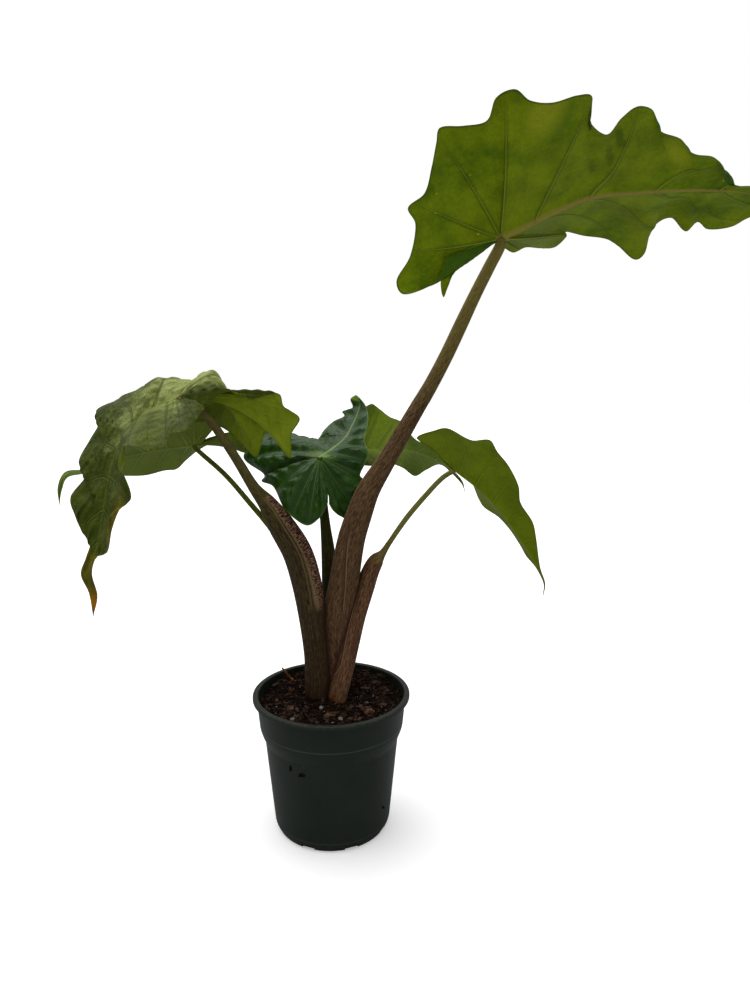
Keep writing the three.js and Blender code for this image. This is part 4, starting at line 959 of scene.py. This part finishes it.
# Skins of each blade: the upper face's colours (deep, light, vein, rim) and what else it has, and the same for
# the face below. A blotch is (station, across, radius along, radius across, colour, strength).
BLADE_SKINS = {
    "tall": (
        "304e0b 44660f 668628 557319", {},
        "446203 7f9508 8a9838 354a07", dict(
            midrib="94873f", rib=6.5, furrow="3a5206", yellow=("88910a", 0.3), spots=("baa60f", 0.03), width=1.2,
            patch=0.026, relief=0.8, blotches=(
                # the blotch in 7d8c40 at station 125 is painted sheen on the far basal lobe
                (125, -60, 45, 60, "7d8c40", 0.7), (92, 124, 7, 28, "a9ad22", 0.5),
                (41, 52, 4, 18, "a1a816", 0.5), (61, 74, 1.4, 13, "2c4408", 0.5),
                (65, 54, 1.5, 12, "2c4408", 0.45), (70, 37, 1.6, 10, "2c4408", 0.4),
            ),
        ),
    ),
    "left": (
        "2e3a04 47520c 5c6719 525e14", dict(
            furrow="293504", net=0.16, spots=("49330b", 0.01), tip="986708 783a06", patch=0.02, rough=0.42,
            width=0.8, dimple=2.5, relief=0.9, blotches=(
                # the blotches in 98a25c and a3af66 near the junction are painted sheen on the top of the leaf
                (112, 10, 42, 75, "98a25c", 0.9), (86, -60, 16, 55, "556016", 0.8),
                (30, -44, 12, 16, "736205", 0.8), (17, 0, 7, 60, "786706", 0.7),
                (108, 30, 14, 26, "a3af66", 0.5),
            ),
        ),
        "6a7b10 84951d a4af46 607311", dict(spots=("a4712c", 0.03), tip="ce8d17 a45212"),
    ),
    "left_rear": ("394e09 4e6416 718131 5e7121", {}, "5b6b24 708031 76893a 52641d", {}),
    "centre": (
        "163304 254a06 4f6e20 5a792a", dict(
            Coat_Weight=0.13, Coat_Roughness=0.1, Specular_IOR_Level=0.12, rough=0.32, net=0.05, relief=0.5,
            width=0.8, dimple=1.0, midrib="6c8e2f",
            blotches=((3, 0, 5, 30, "7a991e", 0.8), (100, 0, 9, 16, "6c8834", 0.6)),
        ),
        "263f10 324f16 5f7840 445f2c", {},
    ),
    "right": (
        "505f0d 667616 748522 5b6c18", dict(width=0.8),
        "5d6f05 7a8c12 7f9318 506210", dict(spots=("475712", 0.02), width=0.9),
    ),
    "rear": (
        # the blotch on both faces of the far half is painted light: the glow of backlight through the blade
        "364602 475606 526210 516414", dict(width=0.9, blotches=((88, -30, 24, 70, "6b7f08", 0.65),)),
        "405606 52690d 5e7718 465b0d", dict(blotches=((88, -30, 24, 70, "728a0c", 0.65),)),
    ),
}

# Skins of each stem: its colours (low, high, olive, dark) and what else it has.
STEM_SKINS = {
    "tall": ("533724 5e4d29 72593c 372119", dict(
        lining="61482f 42241e", lip="967d64", seam=(-4.455, -0.008, 1000, 112, 192), crown=("7d7434", 0.95, 1.45))),
    "left": ("352317 454010 504224 241510", dict(
        heights=(0.1, 0.7), lining="857050 391418", lip="715f42", crown=("6c6434", 0.6, 1.0))),
    "left_rear": ("544f16 5b650f 687318 3b410f", dict(heights=(0.0, 0.4), streak=0.5)),
    "centre": ("342a12 414612 4b4c1a 261e0e", dict(heights=(0.0, 0.8))),
    "right": ("633f2c 626c22 7d6540 3a1c18", dict(
        heights=(0.44, 0.56), lip="ab9074", seam=(0.5, 0.055, 50, 8, 118), crown=("777c38", 0.45, 0.58))),
    "rear": ("2c2416 3c4418 444a20 1e1812", dict(heights=(0.0, 0.8))),
}
THICK_STEMS = ("tall", "left", "right")


def make_leaves():
    """The six blades, each with a material for either face, and their petioles with their sheaths."""
    for name, (top, above, bottom, below) in BLADE_SKINS.items():
        above = {"side": -1.0, "Specular_IOR_Level": 0.07, **above}
        below = {"side": 1.0, "Specular_IOR_Level": 0.06, "rough": 0.55, **below}
        skins = [leaf_material(f"{name}_upper", top, **above), leaf_material(f"{name}_under", bottom, **below)]
        points, faces, kinds, looks = blade(name)
        mesh_object(f"leaf_blade_{name}", points, faces, skins,
                    [f"blade_{name}"], looks, kinds, sharp=75)
    for name, (tints, marks) in STEM_SKINS.items():
        points, faces, looks = petiole(name, 260, 96 if name in THICK_STEMS else 48)
        skin = stem_material(f"{name}_stem_skin", tints, **marks)
        mesh_object(f"stem_{name}", points, faces, [skin], [f"petiole_{name}"], looks, sharp=50)


def make_pot():
    """The pot: a thin shell turned on its axis, with a rolled lip, a band, a drawn-in shoulder, a bevelled foot
    and drain slots cut through the bevel. Its corners are (radius, height, length of the bend)."""
    side = [
        (FOOT_RADIUS, 0, 1.5), (FOOT_RADIUS + FOOT_FLARE, FOOT_BEVEL, 6), (BODY_RADIUS, BODY_TOP, 1.2),
        (SHOULDER_RADIUS - 1.25, BAND_BOTTOM - 4.4, 3), (SHOULDER_RADIUS, BAND_BOTTOM, 2),
        (BAND_RADIUS, BAND_TOP, 0.6),
    ]
    outside = [(0, 0, 0), *side, (RIM_RADIUS, BAND_TOP, 0.5), (RIM_RADIUS, POT_HEIGHT, 1.4)]
    inside = [(BAND_RADIUS - WALL, POT_HEIGHT, 1.2)] + [(r - WALL, z, bend) for r, z, bend in side[:0:-1]]
    inside += [(FOOT_RADIUS - 0.3, 2, 1), (0, 2, 0)]
    table = np.array(outside + inside, float)
    points, faces = revolve(rounded(table[:, :2], table[:, 2], 5), 192)
    cut_slots(mesh_object("nursery_pot", points, faces, [pot_material()], ["pot"], sharp=35))


def cut_slots(pot):
    """Drain slots: boxes with rounded upper corners taken out of the foot's bevel."""
    shape = np.array([(-7, -1), (7, -1), (7, 3.5), (5.4, 5.2), (-5.4, 5.2), (-7, 3.5)], float)
    points, quads, ends = [], [], []
    for k in range(SLOT_COUNT):
        angle = 2 * math.pi * (k + 0.5) / SLOT_COUNT
        axis = np.array([math.cos(angle), math.sin(angle), 0])
        side = np.array([-math.sin(angle), math.cos(angle), 0])
        for radius in (FOOT_RADIUS - 2.5, FOOT_RADIUS + 5.5):
            points.append(axis * radius + shape[:, :1] * side + shape[:, 1:] * (0, 0, 1))
        first = 12 * k
        for j in range(6):
            quads.append((first + j, first + (j + 1) % 6, first + 6 + (j + 1) % 6, first + 6 + j))
        ends += [tuple(first + 5 - j for j in range(6)), tuple(first + 6 + j for j in range(6))]
    mesh = bpy.data.meshes.new("slot_cutters")
    mesh.from_pydata((np.concatenate(points) * MM).tolist(), [], quads + ends)
    cutter = add_object("slot_cutters", mesh)
    modifier = pot.modifiers.new("slots", "BOOLEAN")
    modifier.operation = "DIFFERENCE"
    modifier.solver = "EXACT"
    modifier.object = cutter
    bpy.context.view_layer.update()
    made = bpy.data.meshes.new_from_object(pot.evaluated_get(bpy.context.evaluated_depsgraph_get()))
    pot.modifiers.clear()
    pot.data = made
    bpy.data.objects.remove(cutter)


def make_soil():
    """The soil: a turned body whose top is a field of crumbs, closed by its side and bottom."""
    rings = np.linspace(SOIL_RADIUS, 0, 90)[:-1]
    profile = np.concatenate([
        [(0, 2.4), (FOOT_RADIUS - 1.2, 2.4), (BODY_RADIUS - 1.8, BODY_TOP - 1)],
        [(SHOULDER_RADIUS - 1.8, BAND_BOTTOM)],
        np.stack([rings, 0 * rings + SOIL_LEVEL], -1), [(0, SOIL_LEVEL)],
    ])
    points, faces = revolve(profile, 256)
    top = points[:, 2] > SOIL_LEVEL - 0.01
    reach = np.hypot(points[:, 0], points[:, 1])
    fade = np.clip((SOIL_RADIUS - reach) / 3, 0, 1) * 0.6 + 0.4 * (points[:, 1] > 20)
    points[top, 2] += (soil_height(points[:, 0], points[:, 1]) * fade)[top]
    skin = rough_material("potting_mix", "080403 170c07 33241b", 0.3, 0.003, 0.002)
    mesh_object("potting_soil", points, faces, [skin], ["soil"], sharp=80)


def lumps(centres, sizes, turns, jitter, seed):
    """Many small six-sided blocks at once: a cube's corners, moved at random, scaled, turned and placed. All
    corners are one array of block, corner and axis."""
    random = np.random.default_rng(seed)
    cube = np.array([(x, y, z) for x in (-1, 1) for y in (-1, 1) for z in (-1, 1)], float) / 2
    corners = cube[None] * (1 + jitter * (random.random((len(centres), 8, 3)) - 0.5) * 2) * sizes[:, None]
    a, b = turns[:, 0, None], turns[:, 1, None]
    x, y, z = corners[..., 0], corners[..., 1], corners[..., 2]
    y, z = y * np.cos(b) - z * np.sin(b), y * np.sin(b) + z * np.cos(b)
    x, y = x * np.cos(a) - y * np.sin(a), x * np.sin(a) + y * np.cos(a)
    points = (np.stack([x, y, z], -1) + centres[:, None]).reshape(-1, 3)
    quads = np.array([(0, 1, 3, 2), (4, 6, 7, 5), (0, 4, 5, 1), (2, 3, 7, 6), (0, 2, 6, 4), (1, 5, 7, 3)])
    return points, (quads[None] + 8 * np.arange(len(centres))[:, None, None]).reshape(-1, 4)


def scatter(count, radius, seed):
    """Random places on the soil inside a radius, with the soil's height there."""
    random = np.random.default_rng(seed)
    r, a = radius * np.sqrt(random.random(count)), 2 * np.pi * random.random(count)
    x, y = r * np.cos(a), r * np.sin(a)
    return random, np.stack([x, y, SOIL_LEVEL + soil_height(x, y)], -1)


def make_litter(grain):
    """Loose bits on the soil: fine crumbs, slivers of bark and white grains, each kind one piece. Of the first
    two the table says how many, how far from the edge, the seed, the lift off the soil, the least and greatest
    sizes, the lean, the jitter, how rare the pale ones are, and the colours."""
    for name, slot, count, inset, seed, lift, ends, lean, jitter, rarity, tints, share in (
        ("soil_crumbs", "soil", 2600, 2, 5, 0.2, ((0.8, 3.4), (0.7, 2.2), (0.5, 1.4)), 0.9, 0.45, 4,
         "070403 180d07 423126", 0.2),
        ("bark_slivers", "bark", 260, 4, 15, 0.7, ((3, 8.5), (1.2, 3.4), (0.7, 1.7)), 0.6, 0.5, 2.5,
         "100805 261710 564136", 0.25),
    ):
        random, centres = scatter(count, SOIL_RADIUS - inset, seed)
        sizes = np.stack([random.uniform(*pair, count) for pair in ends], -1)
        turns = np.stack([random.uniform(0, 6.28, count), random.uniform(-lean, lean, count)], -1)
        points, faces = lumps(centres + (0, 0, lift), sizes, turns, jitter, seed + 1)
        skin = rough_material(name.removeprefix("soil_"), tints, share, 0.002, 0.0008, tone=True)
        tone = np.repeat(random.random(count) ** rarity, 8)
        mesh_object(name, points, faces, [skin], (), {"tone": tone}, sharp=30)
    random, centres = scatter(26, SOIL_RADIUS - 4, 25)
    sizes = random.uniform(0.4, 1.3, (26, 1)) * random.uniform(0.7, 1.2, (26, 3))
    turns = random.uniform(0, 6.28, (26, 2))
    points, faces = lumps(centres + (0, 0, 0.6), sizes, turns, 0.5, 26)
    mesh_object("perlite_dust", points, faces, [grain], (), sharp=30)


def blob(low, high, seed, flat, rings=24, sides=48):
    """A lumpy grain or chip that fills a box: a sphere's grid pushed in and out by random waves, then brought
    to the box's size. flat squares it off."""
    random = np.random.default_rng(seed)
    polar = np.linspace(0, np.pi, rings + 2)[1:-1, None]
    azimuth = np.linspace(0, 2 * np.pi, sides, endpoint=False)[None, :]
    grid = np.stack(np.broadcast_arrays(
        np.sin(polar) * np.cos(azimuth), np.sin(polar) * np.sin(azimuth), np.cos(polar)), -1).reshape(-1, 3)
    grid = np.concatenate([[(0, 0, 1)], grid, [(0, 0, -1)]])
    swell = np.ones(len(grid))
    for wave in random.normal(0, 3, (7, 3)):
        swell += 0.06 * np.sin(grid @ wave + random.uniform(0, 6))
    grid = np.sign(grid) * np.abs(grid) ** flat * swell[:, None]
    extent = grid.max(axis=0) - grid.min(axis=0)
    points = (grid - grid.min(axis=0)) / extent * (high - low) + low
    return points, [turned_over(faces) for faces in poled_faces(rings, sides)]


def thread(path, radius, sides=14, rings=60):
    """A thin root: a circle carried along a smooth line, thinner and more crooked towards its ends."""
    t = np.linspace(0, 1, rings)
    centre = smooth(shares(path), path, t)
    tangent = unit(np.gradient(centre, axis=0))
    out = unit(np.cross(tangent, (0.1, 0.2, 1.0)))
    side = np.cross(tangent, out)
    angle = np.linspace(0, 2 * np.pi, sides, endpoint=False)[None, :, None]
    size = radius * (0.35 + 0.65 * np.sin(np.pi * t) ** 0.5) * (1 + 0.18 * np.sin(t * 41) + 0.1 * np.sin(t * 97))
    ring = out[:, None] * np.cos(angle) + side[:, None] * np.sin(angle)
    return (centre[:, None] + ring * size[:, None, None]).reshape(-1, 3), tube_faces(rings, sides)


def bract(low, high, rows=48, columns=14):
    """A dry scale curled round the shoots: a strip on an arc whose upper edge is ragged, with two faces."""
    u = np.linspace(0, 1, rows)[:, None]
    v = np.linspace(0, 1, columns)[None, :]
    x = low[0] + (high[0] - low[0]) * u + 0 * v
    y = high[1] - 0.6 - (high[1] - low[1] - 1.2) * np.sin(np.pi * u) ** 0.8 - 0.8 * v
    ragged = 0.72 + 0.2 * np.sin(np.pi * u) + 0.05 * np.sin(u * 37) + 0.04 * np.sin(u * 71)
    z = low[2] + (high[2] - low[2]) * v * np.clip(ragged, 0, 1)
    points = [np.stack(np.broadcast_arrays(x, y + off, z), -1).reshape(-1, 3) for off in (-0.25, 0.25)]
    quads = turned_over(grid_faces(rows, columns, closed=False))
    index = np.arange(rows * columns).reshape(rows, columns)
    edge = np.concatenate([index[:-1, 0], index[-1, :-1], index[:0:-1, -1], index[0, :0:-1]])
    after, total = np.roll(edge, -1), rows * columns
    wall = np.stack([edge, edge + total, after + total, after], -1)
    return np.concatenate(points), [quads, quads[:, ::-1] + total, wall]


def make_small_things(grain):
    """The chips, grains, dry roots and basal scale, each in its own solid's box, and a few crumbs of soil that
    stick to the pot's side (middle, size)."""
    bark = rough_material("bark_chips", "2a1a12 5a4030 8a6c52", 0.3, 0.003, 0.001)
    crumb = rough_material("stuck_crumbs", "080605 14100c 2a211a", 0.2, 0.002, 0.0006)
    dry = rough_material("dry_tissue", "462511 714321 936840", 0.3, 0.004, 0.0006, 0.7)
    for kind, ending, material, slot, seed, flat, sharp in (
        ("bark_chip", "rough", bark, "bark", 40, 0.6, 50), ("perlite", "grain", grain, "perlite", 60, 0.8, 60),
    ):
        for number, name in enumerate(n for n in sorted(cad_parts) if n.startswith(kind)):
            points, faces = blob(*box_of(name), seed + number, flat)
            mesh_object(f"{name}_{ending}", points, faces, [material], [name], sharp=sharp)
    for number, (at, size) in enumerate(np.array((
        ((-36.2, -55.8, 89.2), (3.6, 3.4, 7)), ((-25.2, -62.2, 85), (7, 3.6, 3)), ((53, -33, 33), (2, 2, 3)),
        ((-52, -33, 52), (2, 2, 2.6)),
    ))):
        points, faces = blob(at - size / 2, at + size / 2, 80 + number, 0.8)
        mesh_object(f"stuck_crumb_{number + 1}", points, faces, [crumb], (), sharp=60)
    for name, sag in (("dry_root_long", 4.5), ("dry_root_short", 1.4)):
        low, high = box_of(name)
        bend = ((low[0] + high[0]) / 2 - 1, (low[1] + high[1]) / 2 + 1, low[2] + sag)
        path = ((low[0], high[1], high[2] - ROOT_RADIUS), bend, (high[0], low[1], low[2] + ROOT_RADIUS))
        points, faces = thread(path, ROOT_RADIUS)
        mesh_object(f"{name}_fibre", points, faces, [dry], [name], sharp=60)
    points, faces = bract(*box_of("basal_scale"))
    mesh_object("basal_scale_bract", points, faces, [dry], ["basal_scale"], sharp=60)


# Stage, light and camera --------------------------------------------------------------------------------

FLOOR_SHADE, FLOOR_SEEN_SHADE, FLOOR_GLOW = 0.4, 0.88, 0.3
SKY_LOW, SKY_HIGH = 0.5, 0.8
SUN_ENERGY, SUN_WIDTH, SUN_TILT = 1.9, 60, (-10, -14, 0)
SENSOR, FOCAL_SHARE = 36, 0.751
CAMERA_PLACE, CAMERA_PITCH = (0.04435, -0.72, 0.4675), 10.04


def make_floor():
    """A pale floor, which the camera sees a little brighter than the plant does."""
    mesh = bpy.data.meshes.new("floor")
    mesh.from_pydata([(-6, -3, 0), (6, -3, 0), (6, 9, 0), (-6, 9, 0)], [], [(0, 1, 2, 3)])
    material, shader, _ = new_material("pale_floor", Roughness=0.9, Specular_IOR_Level=0)
    seen = put(material.node_tree, "ShaderNodeLightPath")[0]
    shader["Emission Color"].default_value = (1, 1, 1, 1)
    feed(shader["Base Color"], blend(seen, (*[FLOOR_SHADE] * 3, 1), (*[FLOOR_SEEN_SHADE] * 3, 1)))
    feed(shader["Emission Strength"], seen * FLOOR_GLOW)
    mesh.materials.append(material)
    add_object("floor", mesh)


def make_stage():
    """The floor, a pale sky, brighter above, that the camera sees as white, a wide soft light and the camera."""
    make_floor()
    world = bpy.data.worlds.new("studio")
    world.use_nodes = True
    tree = world.node_tree
    backdrop = tree.nodes["Background"].inputs
    height = parts(put(tree, "ShaderNodeTexCoord")[0])[2]
    soft = span(height, -0.1, 0.9, SKY_LOW, SKY_HIGH)
    feed(backdrop[1], span(put(tree, "ShaderNodeLightPath")[0], 0.0, 1.0, soft, 1.0))
    feed(backdrop[0], (1, 1, 1, 1))
    bpy.context.scene.world = world
    lamp = add_object("overhead_light", bpy.data.lights.new("overhead_light", "SUN"))
    lamp.data.energy = SUN_ENERGY
    lamp.data.angle = math.radians(SUN_WIDTH)
    lamp.rotation_euler = [math.radians(turn) for turn in SUN_TILT]
    camera = bpy.data.cameras.new("camera")
    camera.sensor_width = SENSOR
    camera.lens = SENSOR * FOCAL_SHARE
    camera.dof.use_dof = False
    view = add_object("camera", camera)
    view.location = CAMERA_PLACE
    view.rotation_euler = (math.radians(90 - CAMERA_PITCH), 0, 0)
    bpy.context.scene.camera = view
    bpy.context.scene.view_settings.view_transform = "Standard"


make_stage()
make_leaves()
make_pot()
make_soil()
perlite = rough_material("perlite_grain", "5f5850 8f887f aaa59c", 0.4, 0.0012, 0.0004)
make_litter(perlite)
make_small_things(perlite)
